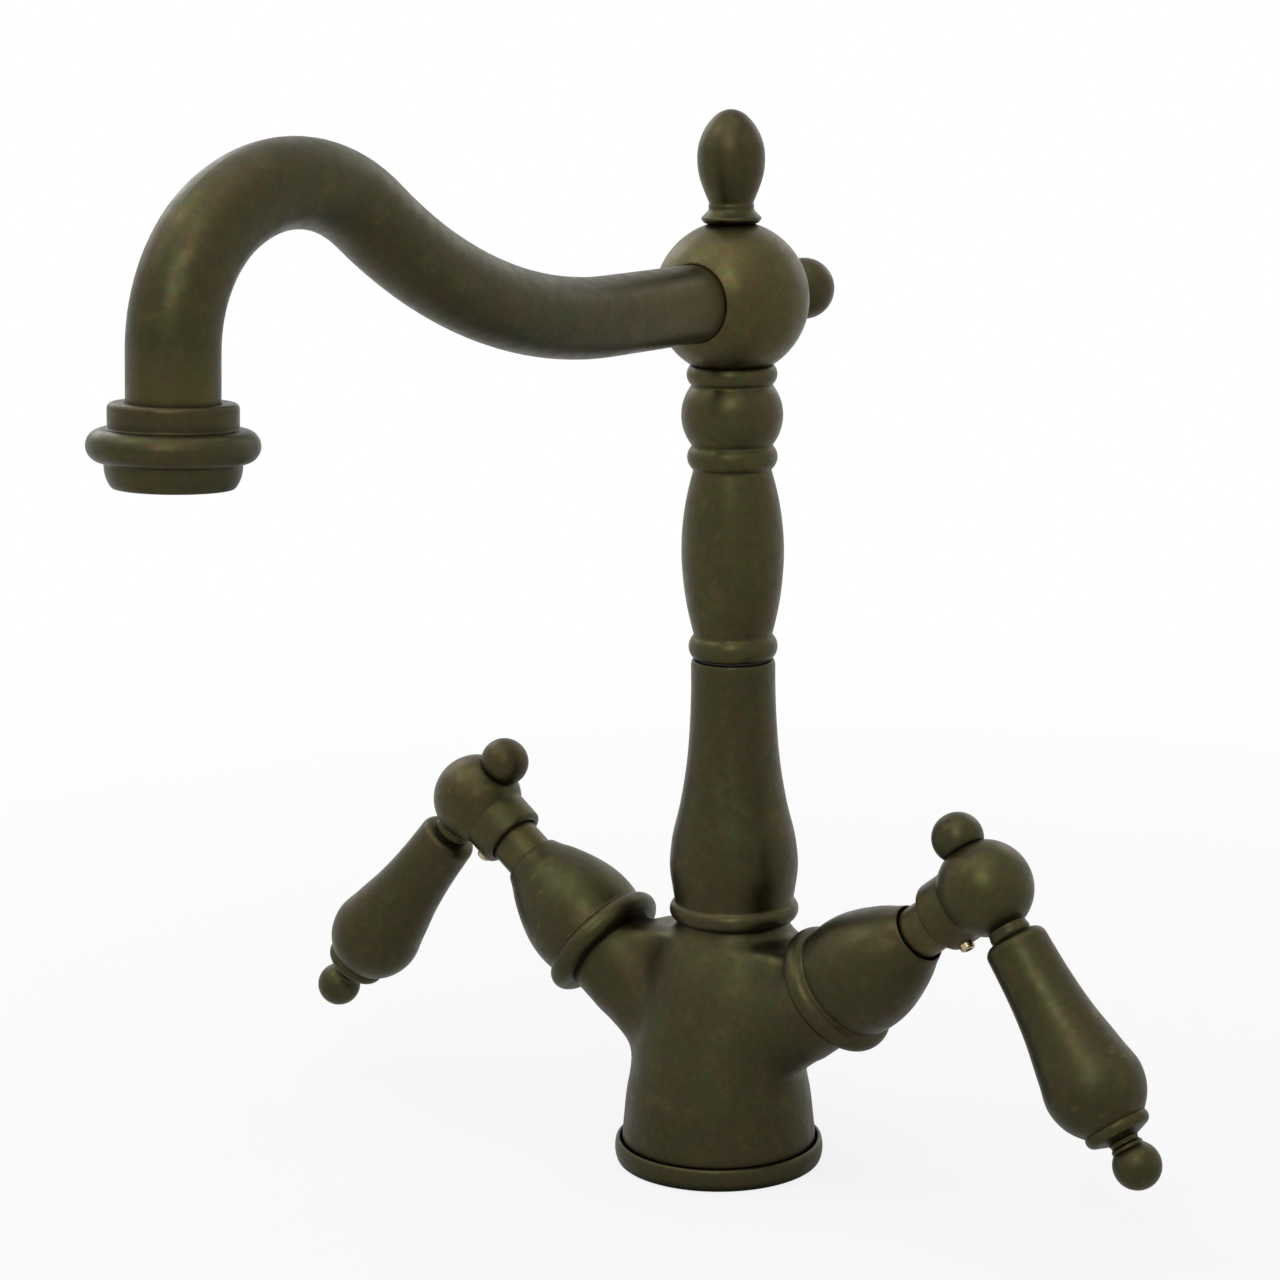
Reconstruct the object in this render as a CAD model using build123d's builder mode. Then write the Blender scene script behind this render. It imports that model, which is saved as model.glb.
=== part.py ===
from build123d import *
import os
from math import cos, pi, radians, sin, sqrt, tan

# Two-handle basin tap with a turning S-shaped spout, in millimetres.
# The origin is the mouth of the fixing stud's hole, on the deck plane. +Z is up, the spout points to -Y,
# the hot handle is at -X and the cold handle at +X.

# Fits
running_gap = 0.05
face_gap = 0.05

# Placing of the main axes
column_y = 8.0
arm_root_z = 25.0
arm_angle = 38.0
lever_forward_angle = 5.2

# Base ring and its seal
base_foot_r = 28.2
base_bead_r = 28.95
base_bead_z = 3.2
base_edge_r = 28.7
base_edge_z = 5.4
base_crown_r = 28.25
base_crown_z = 6.2
base_inner_r = 27.4
base_height = 3.4
base_bore_r = 19.0
gasket_inner_r = 21.5
gasket_outer_r = 25.0
gasket_height = 1.8

# Body casting
cup_foot_r = 26.95
cup_mid_r = 25.75
cup_mid_z = 18.5
waist_r = 24.2
waist_z = 28.0
shelf_z = 63.9
shelf_half_length = 23.5
shelf_half_depth = 16.0
shelf_y = 4.0
arm_r = 13.5
arm_start = 12.0
arm_end = 46.5
arm_spigot_r = 11.0
arm_spigot_end = 52.0
arm_bore_r = 8.5
seat_at = 24.0
body_blend_r = 4.0
neck_r = 14.85
neck_top_z = 66.0
socket_r = 11.0
socket_floor_z = 56.0
mixing_r = 6.0
mixing_floor_z = 46.0
stud_hole_r = 3.4
stud_hole_depth = 16.0
inlet_x = 11.0
inlet_hole_r = 4.5
inlet_hole_depth = 12.0
inlet_passage_r = 3.0
inlet_passage_z = 10.0
outlet_passage_r = 2.2
outlet_passage_x = 26.0
outlet_passage_z = 51.0
outlet_passage_end_z = 50.0

# Lower column
foot_bead_r = 17.85
foot_bead_z = 70.2
foot_bead_top_z = 73.4
foot_bead_top_r = 16.3
vase_belly_r = 17.7
vase_belly_z = 81.9
stalk_r = 11.54
stalk_z = 138.9
swivel_z = 140.3
swivel_r = 7.95
swivel_floor_z = 96.0
column_bore_r = 6.0

# Swivel
washer_inner_r = 8.0
washer_outer_r = 9.9
washer_thickness = 0.55
upper_start_z = 140.9
spigot_bottom_z = 98.0
spigot_thread_r = 8.5
spigot_top_z = 155.0
spigot_bore_r = 5.5
o_ring_section_r = 0.9
o_ring_centre_r = 7.03
o_ring_zs = (108.0, 118.0)
lock_z = 130.0
lock_screw_r = 2.0
lock_groove_r = 6.4
lock_groove_half = 2.2
lock_screw_tip_r = 6.9
lock_screw_head_r = 11.2

# Upper column, a turned baluster: beads, a long vase and a round bulb
column_end_r = 10.93
low_bead_r = 12.14
low_bead_z = 144.16
vase_foot_z = 147.2
vase_foot_r = 10.67
vase_r = 13.91
vase_z = 170.4
vase_top_z = 192.55
vase_top_r = 10.5
mid_bead_r = 12.21
mid_bead_z = 195.7
bulb_foot_z = 199.07
bulb_foot_r = 10.81
bulb_r = 13.71
bulb_z = 207.2
bulb_top_z = 215.4
bulb_top_r = 10.83
top_bead_r = 12.19
top_bead_z = 218.5

# Ball, finial and rear knob
ball_z = 238.4
ball_r = 20.75
ball_seat_z = 221.0
ball_spigot_r = 9.0
ball_spigot_top_z = 226.0
ball_passage_r = 6.5
finial_seat_z = 258.2
finial_neck_r = 6.2
finial_collar_r = 8.1
finial_collar_z = 259.9
finial_cove_r = 6.2
finial_cove_z = 261.4
finial_ridge_r = 6.15
finial_ridge_z = 262.8
finial_waist_r = 5.7
finial_waist_z = 263.6
finial_egg_r = 9.0
finial_egg_z = 275.5
finial_top_z = 288.3
finial_stud_r = 3.0
finial_stud_z = 250.0
knob_stud_r = 4.0
knob_stud_start = 8.0
knob_seat_at = 19.8
knob_flange_r = 6.0
knob_bead_r = 6.9
knob_bead_at = 21.0
knob_bead_end = 22.2
rear_knob_r = 8.4
rear_knob_at = 35.0

# Spout tube: straight out of the ball, up, over the crest and down to the outlet
tube_r = 10.3
tube_bore_r = 9.05
tube_start = 9.5
tube_seal_start = 8.0
tube_straight_end = 55.0
tube_rise_r = 150.0
tube_rise_angle = 37.3
tube_crest_r = 43.4
tube_crest_fall_angle = 28.0
tube_drop_r = 34.3
tube_end_lean = 3.0
tube_end_z = 224.8

# Outlet ring and aerator, with heights along their axis from the tube's end
collar_r = 14.2
collar_edge = 0.8
collar_top = 8.5
collar_foot = 2.7
outlet_bead_r = 18.8
outlet_bead_at = -0.4
outlet_skirt_r = 14.9
outlet_skirt_top = -4.5
outlet_skirt_mid = -7.4
outlet_lip_r = 13.2
outlet_bottom = -10.1
aerator_r = 11.0
aerator_seat = -1.5
aerator_top = -3.0
aerator_bottom = -9.9
aerator_lip_r = 8.8
aerator_insert_r = 9.6
aerator_insert_bottom = -9.0
aerator_insert_top = -5.0
aerator_screen_top = -4.6
aerator_hole_r = 0.75
screen_hole_r = 0.45
aerator_hole_pitch = 2.6

# Valve cartridge, as distances along the arm from its root
seat_seal_inner_r = 5.4
cartridge_start = 26.0
cartridge_channel_r = 7.5
cartridge_channel_start = 29.5
cartridge_channel_end = 39.5
cartridge_flange_r = 9.8
cartridge_flange_end = 56.0
cartridge_barrel_r = 7.0
cartridge_barrel_end = 74.0
cartridge_neck_r = 5.2
cartridge_neck_end = 86.0
disc_chamber_r = 6.6
disc_chamber_end = 41.0
disc_r = 6.5
disc_thickness = 3.0
disc_port_r = 1.9
disc_port_at = 3.4
window_r = 2.0
window_at = 37.0
blade_width = 2.4
blade_length = 9.0
blade_depth = 1.0
blade_end = 36.0
stem_r = 4.0
stem_collar_r = 6.2
stem_collar_start = 39.0
stem_end = 103.5
stem_o_ring_r = 0.75
stem_o_ring_ats = (48.0, 53.0)
circlip_at = 86.1
circlip_thickness = 0.8
circlip_r = 4.9
circlip_groove_r = 3.3
gland_r = 7.2
gland_start = 78.0
gland_wall_at = 89.0
gland_end = 91.6

# Bonnet bell, as distances along the arm
bonnet_back_r = 15.2
bonnet_bead_r = 18.4
bonnet_bead_at = 50.0
bonnet_crease_at = 53.8
bonnet_crease_r = 15.7
bonnet_belly_r = 16.4
bonnet_belly_at = 58.0
bonnet_cavity_r = 14.0
bonnet_mouth_at = 82.0
bonnet_mouth_r = 7.6
bonnet_lip_r = 8.3

# Handle hub, as distances along the arm
hub_at = 107.0
hub_r = 12.7
sleeve_r = 9.8
sleeve_start = 90.3
sleeve_edge = 1.2
sleeve_recess_r = 7.5
sleeve_recess_end = 92.8
set_screw_at = 94.2
set_screw_forward_angle = 12.0
set_screw_r = 2.0
set_screw_head_at = 11.3
screw_rounding = 0.7
hex_socket_r = 1.1
hex_socket_depth = 2.5

# Lever, as distances from the hub's centre
rod_r = 2.5
rod_start = -16.5
rod_end = 78.0
knob_r = 6.9
knob_at = -14.8
lever_neck_r = 5.6
lever_neck_start = 11.0
neck_bead_start = 12.3
lever_groove_r = 4.6
grip_start = 15.0
grip_root_r = 6.6
grip_shoulder_at = 17.0
grip_shoulder_r = 8.45
grip_belly_r = 13.25
grip_belly_at = 58.5
grip_end = 68.3
grip_end_r = 8.6
end_ring_r = 8.8
end_ring_at = 70.2
end_ring_foot_r = 8.0
end_ring_top_r = 7.0
end_ring_top_at = 71.8
tip_neck_r = 3.7
tip_neck_start = 72.8
tip_neck_at = 73.9
tip_bead_r = 4.4
tip_bead_at = 74.85
tip_r = 6.3
tip_at = 80.0


def section(plane):
    """Plane through a turning axis, with local X as the radius and local Y along the axis."""
    return Plane(origin=plane.origin, x_dir=plane.x_dir, z_dir=plane.x_dir.cross(plane.z_dir))


def axis_of(plane):
    return Axis(plane.origin, plane.z_dir)


def bar(plane, radius, start, end, mode=Mode.ADD):
    """Round bar along the plane's normal, added to the part being built."""
    with Locations(plane.offset(start)):
        Cylinder(radius, end - start, align=(Align.CENTER, Align.CENTER, Align.MIN), mode=mode)


def bore(plane, radius, start, end):
    """Round hole along the plane's normal, cut in the part being built."""
    bar(plane, radius, start, end, mode=Mode.SUBTRACT)


def groove(plane, floor_r, outer_r, start, end):
    """Ring-shaped groove about the plane's normal, cut in the part being built."""
    with BuildSketch(plane.offset(start)) as gap:
        Circle(outer_r)
        Circle(floor_r, mode=Mode.SUBTRACT)
    extrude(gap.sketch, amount=end - start, mode=Mode.SUBTRACT)


def slanted_bore(radius, start, end):
    """Straight round passage between two points, cut in the part being built."""
    way = Vector(*end) - Vector(*start)
    bore(Plane(origin=start, z_dir=way), radius, 0, way.length)


def ring(plane, inner_r, outer_r, start, end):
    """Plain ring about the plane's normal."""
    with BuildPart() as part:
        bar(plane, outer_r, start, end)
        bore(plane, inner_r, start, end)
    return part


def o_rings(plane, centre_r, section_r, places):
    with BuildPart() as part:
        for place in places:
            with BuildSketch(section(plane)):
                with Locations((centre_r, place)):
                    Circle(section_r)
            revolve(axis=axis_of(plane))
    return part


def grub_screw(plane, radius, tip, head):
    """Headless screw with a rounded outer end and a hexagon socket, lying along the plane's normal."""
    with BuildPart() as part:
        bar(plane, radius, tip, head)
        fillet(part.edges().group_by(axis_of(plane))[-1], radius=screw_rounding)
        with BuildSketch(plane.offset(head)):
            RegularPolygon(hex_socket_r, 6)
        extrude(amount=-hex_socket_depth, mode=Mode.SUBTRACT)
    return part


def sieve(plane, outer_r, hole_r, start, end):
    """Disc with one hole in the middle and three rings of holes round it."""
    with BuildPart() as part:
        with BuildSketch(plane.offset(start)):
            Circle(outer_r)
            Circle(hole_r, mode=Mode.SUBTRACT)
            for row in (1, 2, 3):
                with PolarLocations(row * aerator_hole_pitch, 6 * row):
                    Circle(hole_r, mode=Mode.SUBTRACT)
        extrude(amount=end - start)
    return part


def save(part, name):
    part.part.label = name
    export_step(part.part, f"parts/{name}.step")


os.makedirs("parts", exist_ok=True)

base = Plane.XY
column = Plane(origin=(0, column_y, 0), x_dir=(1, 0, 0), z_dir=(0, 0, 1))
spout = Plane(origin=(0, column_y, ball_z), x_dir=(0, 0, 1), z_dir=(0, -1, 0))
behind = Plane(origin=(0, column_y, ball_z), x_dir=(0, 0, 1), z_dir=(0, 1, 0))
lock = Plane(origin=(0, column_y, lock_z), x_dir=(0, 0, 1), z_dir=(0, 1, 0))

# The tube's arcs set where its last straight run starts, and that run ends a little short of plumb
drop_start = radians(tube_crest_fall_angle)
drop_end = radians(90 - tube_end_lean)
last_run_reach = (
    tube_straight_end
    + (tube_rise_r + tube_crest_r) * sin(radians(tube_rise_angle))
    + tube_crest_r * sin(drop_start)
    + tube_drop_r * (sin(drop_end) - sin(drop_start))
)
last_run_z = (
    ball_z
    + (tube_rise_r + tube_crest_r) * (1 - cos(radians(tube_rise_angle)))
    - tube_crest_r * (1 - cos(drop_start))
    - tube_drop_r * (cos(drop_start) - cos(drop_end))
)
outlet_reach = last_run_reach + (last_run_z - tube_end_z) * tan(radians(tube_end_lean))
outlet = Plane(
    origin=(0, column_y - outlet_reach, tube_end_z),
    x_dir=(1, 0, 0),
    z_dir=(0, sin(radians(tube_end_lean)), cos(radians(tube_end_lean))),
)


def arm_plane(side):
    """Valve arm: the normal runs out along the arm, local X points outward and down."""
    across = cos(radians(arm_angle))
    up = sin(radians(arm_angle))
    return Plane(origin=(0, 0, arm_root_z), x_dir=(side * up, 0, -across), z_dir=(side * across, 0, up))


def lever_plane(side):
    """Lever: the origin is the hub's centre, and the normal runs down the lever."""
    arm = arm_plane(side)
    forward = radians(lever_forward_angle)
    down_lever = arm.x_dir * cos(forward) + Vector(0, -1, 0) * sin(forward)
    return Plane(origin=arm.offset(hub_at).origin, x_dir=arm.z_dir, z_dir=down_lever)


# Base ring
with BuildPart() as base_flange:
    with BuildSketch(section(base)):
        with BuildLine():
            foot = Line((base_bore_r, 0), (base_foot_r, 0))
            bead = ThreePointArc(foot @ 1, (base_bead_r, base_bead_z), (base_edge_r, base_edge_z))
            crown = ThreePointArc(bead @ 1, (base_crown_r, base_crown_z), (base_inner_r, base_crown_z))
            Polyline(crown @ 1, (base_inner_r, base_height), (base_bore_r, base_height), foot @ 0)
        make_face()
    revolve(axis=Axis.Z)
    with BuildSketch(base):
        Circle(gasket_outer_r)
        Circle(gasket_inner_r, mode=Mode.SUBTRACT)
    extrude(amount=gasket_height, mode=Mode.SUBTRACT)
save(base_flange, "base_flange")

base_gasket = ring(base, gasket_inner_r, gasket_outer_r, 0, gasket_height)
save(base_gasket, "base_gasket")


# Body casting: a round cup that widens into a flat shelf, with the valve arms and the column's socket
def body_level(z, half_length, half_depth, centre_y):
    """Oval cross-section of the casting, started on its X side."""
    with BuildSketch(Plane(origin=(0, centre_y, z), x_dir=(0, 1, 0), z_dir=(0, 0, 1))) as level:
        Ellipse(half_depth, half_length)
    return level.sketch


with BuildPart() as mixer_body:
    with BuildSketch(base.offset(base_height)) as cup_foot:
        Circle(cup_foot_r)
    with BuildSketch(base.offset(cup_mid_z)) as cup_middle:
        Circle(cup_mid_r)
    levels = [cup_foot.sketch, cup_middle.sketch]
    for share in (0, 0.4, 0.73, 1):
        levels.append(
            body_level(
                waist_z + share * (shelf_z - waist_z),
                waist_r + share * (shelf_half_length - waist_r),
                waist_r - 0.2 + share * (shelf_half_depth - waist_r),
                share * shelf_y,
            )
        )
    loft(levels)
    bar(column, neck_r, shelf_z, neck_top_z)
    for side in (-1, 1):
        bar(arm_plane(side), arm_r, arm_start, arm_end)
    seams = mixer_body.edges().filter_by(GeomType.BSPLINE)
    fillet(
        seams.filter_by(lambda edge: edge.length > 3 and 10 < edge.center().Z < shelf_z - 1),
        radius=body_blend_r,
    )
    bar(base, base_bore_r, 0, base_height)
    bore(base, stud_hole_r, 0, stud_hole_depth)
    bore(column, socket_r, socket_floor_z, neck_top_z)
    bore(column, mixing_r, mixing_floor_z, socket_floor_z)
    for side in (-1, 1):
        arm = arm_plane(side)
        inlet = Plane(origin=(side * inlet_x, 0, 0))
        bar(arm, arm_spigot_r, arm_end, arm_spigot_end)
        bore(arm, arm_bore_r, seat_at, arm_spigot_end)
        bore(inlet, inlet_hole_r, 0, inlet_hole_depth)
        slanted_bore(inlet_passage_r, (side * inlet_x, 0, inlet_passage_z), arm.offset(seat_at + 1).origin)
        slanted_bore(
            outlet_passage_r,
            (side * outlet_passage_x, 0, outlet_passage_z),
            (0, column_y, outlet_passage_end_z),
        )
save(mixer_body, "mixer_body")


# Lower column
with BuildPart() as lower_column:
    with BuildSketch(section(column)):
        with BuildLine():
            spigot = Polyline((column_bore_r, socket_floor_z), (socket_r, socket_floor_z), (socket_r, neck_top_z))
            shoulder = Line(spigot @ 1, (neck_r, neck_top_z))
            bead = ThreePointArc(shoulder @ 1, (foot_bead_r, foot_bead_z), (foot_bead_top_r, foot_bead_top_z))
            vase = Spline(
                bead @ 1,
                (16.96, 76.1),
                (vase_belly_r, vase_belly_z),
                (17.17, 89.0),
                (14.61, 100.4),
                (12.8, 111.7),
                (11.75, 125.5),
                (stalk_r, stalk_z),
            )
            Polyline(
                vase @ 1,
                (stalk_r - 0.3, swivel_z),
                (swivel_r, swivel_z),
                (swivel_r, swivel_floor_z),
                (column_bore_r, swivel_floor_z),
                spigot @ 0,
            )
        make_face()
    revolve(axis=axis_of(column))
    bore(lock, lock_screw_r, swivel_r - 1, lock_screw_head_r + 2)
save(lower_column, "lower_column")


# Swivel between the two columns
with BuildPart() as swivel_spigot:
    bar(column, swivel_r - running_gap, spigot_bottom_z, upper_start_z)
    bar(column, spigot_thread_r, upper_start_z, spigot_top_z)
    bore(column, spigot_bore_r, spigot_bottom_z, spigot_top_z)
    for z in o_ring_zs:
        groove(
            column,
            o_ring_centre_r - o_ring_section_r,
            swivel_r,
            z - o_ring_section_r - running_gap,
            z + o_ring_section_r + running_gap,
        )
    groove(column, lock_groove_r, swivel_r, lock_z - lock_groove_half, lock_z + lock_groove_half)
save(swivel_spigot, "swivel_spigot")

spigot_o_rings = o_rings(column, o_ring_centre_r, o_ring_section_r, o_ring_zs)
save(spigot_o_rings, "spigot_o_rings")

swivel_washer = ring(column, washer_inner_r, washer_outer_r, swivel_z, swivel_z + washer_thickness)
save(swivel_washer, "swivel_washer")

swivel_lock_screw = grub_screw(lock, lock_screw_r, lock_screw_tip_r, lock_screw_head_r)
save(swivel_lock_screw, "swivel_lock_screw")


# Upper column
with BuildPart() as upper_column:
    with BuildSketch(section(column)):
        with BuildLine():
            foot = Line((spigot_thread_r, upper_start_z), (column_end_r, upper_start_z))
            low_bead = ThreePointArc(foot @ 1, (low_bead_r, low_bead_z), (vase_foot_r, vase_foot_z))
            vase = Spline(
                low_bead @ 1,
                (11.9, 152.2),
                (12.85, 157.2),
                (13.48, 162.2),
                (vase_r, vase_z),
                (13.42, 178.6),
                (12.68, 183.6),
                (11.61, 188.5),
                (vase_top_r, vase_top_z),
            )
            mid_bead = ThreePointArc(vase @ 1, (mid_bead_r, mid_bead_z), (bulb_foot_r, bulb_foot_z))
            bulb = ThreePointArc(mid_bead @ 1, (bulb_r, bulb_z), (bulb_top_r, bulb_top_z))
            top_bead = ThreePointArc(bulb @ 1, (top_bead_r, top_bead_z), (column_end_r, ball_seat_z))
            Polyline(
                top_bead @ 1,
                (ball_spigot_r, ball_seat_z),
                (ball_spigot_r, ball_spigot_top_z),
                (ball_passage_r, ball_spigot_top_z),
                (ball_passage_r, spigot_top_z),
                (spigot_thread_r, spigot_top_z),
                foot @ 0,
            )
        make_face()
    revolve(axis=axis_of(column))
save(upper_column, "upper_column")


# Ball with the finial and the rear knob
with BuildPart() as spout_ball:
    with Locations(column.offset(ball_z)):
        Sphere(ball_r)
    split(bisect_by=column.offset(ball_seat_z), keep=Keep.TOP)
    split(bisect_by=column.offset(finial_seat_z), keep=Keep.BOTTOM)
    split(bisect_by=behind.offset(knob_seat_at), keep=Keep.BOTTOM)
    bore(column, ball_spigot_r, ball_seat_z, ball_spigot_top_z)
    bore(column, ball_passage_r, ball_spigot_top_z, ball_z)
    bore(column, finial_stud_r, finial_stud_z, finial_seat_z)
    bore(spout, tube_bore_r, 0, tube_seal_start)
    bore(spout, tube_r, tube_seal_start, ball_r)
    bore(behind, knob_stud_r, knob_stud_start, knob_seat_at)
save(spout_ball, "spout_ball")

with BuildPart() as finial:
    with BuildSketch(section(column)):
        with BuildLine():
            stud = Polyline(
                (0, finial_top_z),
                (0, finial_stud_z),
                (finial_stud_r, finial_stud_z),
                (finial_stud_r, finial_seat_z),
                (finial_neck_r, finial_seat_z),
                (finial_neck_r, finial_seat_z + 0.5),
            )
            collar = ThreePointArc(
                stud @ 1, (finial_collar_r, finial_collar_z), (finial_cove_r, finial_cove_z)
            )
            ridge = ThreePointArc(
                collar @ 1, (finial_ridge_r, finial_ridge_z), (finial_waist_r, finial_waist_z)
            )
            Spline(
                ridge @ 1,
                (7.05, 266.6),
                (8.48, 270.8),
                (finial_egg_r, finial_egg_z),
                (8.58, 279.2),
                (7.45, 282.3),
                (5.4, 285.4),
                stud @ 0,
                tangents=((0.25, 1), (-1, 0)),
            )
        make_face()
    revolve(axis=axis_of(column))
save(finial, "finial")

with BuildPart() as rear_knob:
    with BuildSketch(section(behind)):
        with BuildLine():
            neck_end = rear_knob_at - sqrt(rear_knob_r**2 - knob_stud_r**2)
            stud = Polyline(
                (0, rear_knob_at + rear_knob_r),
                (0, knob_stud_start),
                (knob_stud_r, knob_stud_start),
                (knob_stud_r, knob_seat_at),
                (knob_flange_r, knob_seat_at),
            )
            bead = ThreePointArc(stud @ 1, (knob_bead_r, knob_bead_at), (knob_flange_r - 0.5, knob_bead_end))
            neck = ThreePointArc(bead @ 1, (knob_stud_r + 0.1, neck_end - 2), (knob_stud_r, neck_end))
            ThreePointArc(neck @ 1, (rear_knob_r, rear_knob_at), stud @ 0)
        make_face()
    revolve(axis=axis_of(behind))
save(rear_knob, "rear_knob")


# Spout tube and the seal at its root
with BuildPart() as spout_tube:
    with BuildLine(section(spout)) as route:
        run = Line((0, tube_start), (0, tube_straight_end))
        rise = JernArc(run @ 1, run % 1, tube_rise_r, -tube_rise_angle)
        crest = JernArc(rise @ 1, rise % 1, tube_crest_r, tube_rise_angle + tube_crest_fall_angle)
        drop = JernArc(crest @ 1, crest % 1, tube_drop_r, 90 - tube_end_lean - tube_crest_fall_angle)
        Line(drop @ 1, (tube_end_z - ball_z, outlet_reach))
    with BuildSketch(spout.offset(tube_start)):
        Circle(tube_r)
        Circle(tube_bore_r, mode=Mode.SUBTRACT)
    sweep(path=route.line)
save(spout_tube, "spout_tube")

tube_length = sum(edge.length for edge in route.edges())
tube_section = pi * (tube_r**2 - tube_bore_r**2)
print("tube volume over section times length:", spout_tube.part.volume / (tube_section * tube_length))

spout_tube_seal = ring(spout, tube_bore_r, tube_r, tube_seal_start, tube_start)
save(spout_tube_seal, "spout_tube_seal")


# Outlet ring and aerator
with BuildPart() as outlet_ring:
    with BuildSketch(section(outlet)):
        with BuildLine():
            collar = Polyline(
                (tube_r, 0),
                (tube_r, collar_top),
                (collar_r - collar_edge, collar_top),
                (collar_r, collar_top - collar_edge),
                (collar_r, collar_foot),
            )
            bead = ThreePointArc(
                collar @ 1, (outlet_bead_r, outlet_bead_at), (outlet_skirt_r, outlet_skirt_top)
            )
            skirt = ThreePointArc(
                bead @ 1, (outlet_skirt_r - 0.3, outlet_skirt_mid), (outlet_lip_r, outlet_bottom)
            )
            Polyline(
                skirt @ 1,
                (aerator_r, outlet_bottom),
                (aerator_r, aerator_seat),
                (tube_bore_r, aerator_seat),
                (tube_bore_r, 0),
                collar @ 0,
            )
        make_face()
    revolve(axis=axis_of(outlet))
save(outlet_ring, "outlet_ring")

with BuildPart() as aerator_housing:
    bar(outlet, aerator_r, aerator_bottom, aerator_top)
    bore(outlet, aerator_lip_r, aerator_bottom, aerator_insert_bottom)
    bore(outlet, aerator_insert_r, aerator_insert_bottom, aerator_top)
save(aerator_housing, "aerator_housing")

aerator_insert = sieve(
    outlet, aerator_insert_r, aerator_hole_r, aerator_insert_bottom, aerator_insert_top
)
save(aerator_insert, "aerator_insert")

aerator_screen = sieve(outlet, aerator_insert_r, screen_hole_r, aerator_insert_top, aerator_screen_top)
save(aerator_screen, "aerator_screen")

aerator_washer = ring(outlet, tube_bore_r, aerator_r, aerator_top, aerator_seat)
save(aerator_washer, "aerator_washer")


# Valve pieces, the same in both arms
def make_bonnet(arm):
    """Bell with a bead at its back, open at its mouth, screwed on the arm's spigot."""
    with BuildPart() as bonnet:
        with BuildSketch(section(arm)):
            with BuildLine():
                back = Line((arm_spigot_r, arm_end), (bonnet_back_r, arm_end))
                bead = ThreePointArc(
                    back @ 1, (bonnet_bead_r, bonnet_bead_at), (bonnet_crease_r, bonnet_crease_at)
                )
                bell = Spline(
                    bead @ 1,
                    (bonnet_belly_r, bonnet_belly_at),
                    (15.8, 64.0),
                    (14.7, 68.0),
                    (13.2, 72.0),
                    (11.4, 76.0),
                    (9.7, 79.0),
                    (bonnet_lip_r, bonnet_mouth_at),
                )
                mouth = Polyline(
                    bell @ 1, (bonnet_mouth_r, bonnet_mouth_at), (bonnet_mouth_r, gland_start)
                )
                cavity = Spline(
                    mouth @ 1,
                    (11.0, 72.0),
                    (13.2, 65.0),
                    (bonnet_cavity_r, bonnet_belly_at),
                    (bonnet_cavity_r - 0.6, bonnet_crease_at + 0.4),
                )
                Polyline(cavity @ 1, (arm_spigot_r, arm_spigot_end + 0.2), back @ 0)
            make_face()
        revolve(axis=axis_of(arm))
    return bonnet


def make_cartridge(arm):
    """Quarter-turn valve body: disc chamber, channel with four windows, flange, barrel and neck."""
    with BuildPart() as cartridge:
        bar(arm, arm_bore_r, cartridge_start, arm_spigot_end)
        bar(arm, cartridge_flange_r, arm_spigot_end, cartridge_flange_end)
        bar(arm, cartridge_barrel_r, cartridge_flange_end, cartridge_barrel_end)
        bar(arm, cartridge_neck_r, cartridge_barrel_end, cartridge_neck_end)
        groove(arm, cartridge_channel_r, arm_bore_r, cartridge_channel_start, cartridge_channel_end)
        bore(arm, disc_chamber_r, cartridge_start, disc_chamber_end)
        bore(arm, stem_r + running_gap, disc_chamber_end, cartridge_neck_end)
        centre = arm.offset(window_at).origin
        for across in (arm.x_dir, arm.y_dir):
            bore(Plane(origin=centre, z_dir=across), window_r, -arm_bore_r, arm_bore_r)
    return cartridge


def make_disc(arm, across, start):
    """Ceramic disc with two water ports, on either side of the middle in the given direction."""
    with BuildPart() as disc:
        bar(arm, disc_r, start, start + disc_thickness)
        for side in (-1, 1):
            port = Plane(origin=arm.origin + across * (side * disc_port_at), z_dir=arm.z_dir)
            bore(port, disc_port_r, start, start + disc_thickness)
    return disc


def make_moving_disc(arm):
    """Upper disc, closed at rest, with a slot for the stem's blade."""
    start = cartridge_start + disc_thickness + face_gap
    disc = make_disc(arm, arm.y_dir, start)
    with disc:
        with BuildSketch(arm.offset(start + disc_thickness)) as slot:
            Rectangle(blade_length + 2 * running_gap, blade_width + 2 * running_gap)
        extrude(slot.sketch, amount=-blade_depth, mode=Mode.SUBTRACT)
    return disc


def make_stem(arm):
    """Stem with a blade for the moving disc, a thrust collar and grooves for rings and circlip."""
    blade_start = cartridge_start + 2 * disc_thickness + face_gap - blade_depth
    with BuildPart() as stem:
        with BuildSketch(arm.offset(blade_start)) as blade:
            Rectangle(blade_length, blade_width)
        extrude(blade.sketch, amount=blade_end - blade_start)
        bar(arm, stem_r, blade_end, stem_end)
        bar(arm, stem_collar_r, stem_collar_start, disc_chamber_end - face_gap)
        for at in stem_o_ring_ats:
            groove(
                arm,
                stem_r + running_gap / 2 - 2 * stem_o_ring_r,
                stem_collar_r,
                at - stem_o_ring_r - running_gap,
                at + stem_o_ring_r + running_gap,
            )
        groove(arm, circlip_groove_r, stem_collar_r, circlip_at, circlip_at + circlip_thickness)
    return stem


def make_gland_nut(arm):
    """Round nut over the cartridge's neck, with a hole for the stem in its end wall."""
    with BuildPart() as nut:
        bar(arm, gland_r, gland_start, gland_end)
        bore(arm, cartridge_neck_r, gland_start, gland_wall_at)
        bore(arm, stem_r + running_gap, gland_wall_at, gland_end)
    return nut


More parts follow.
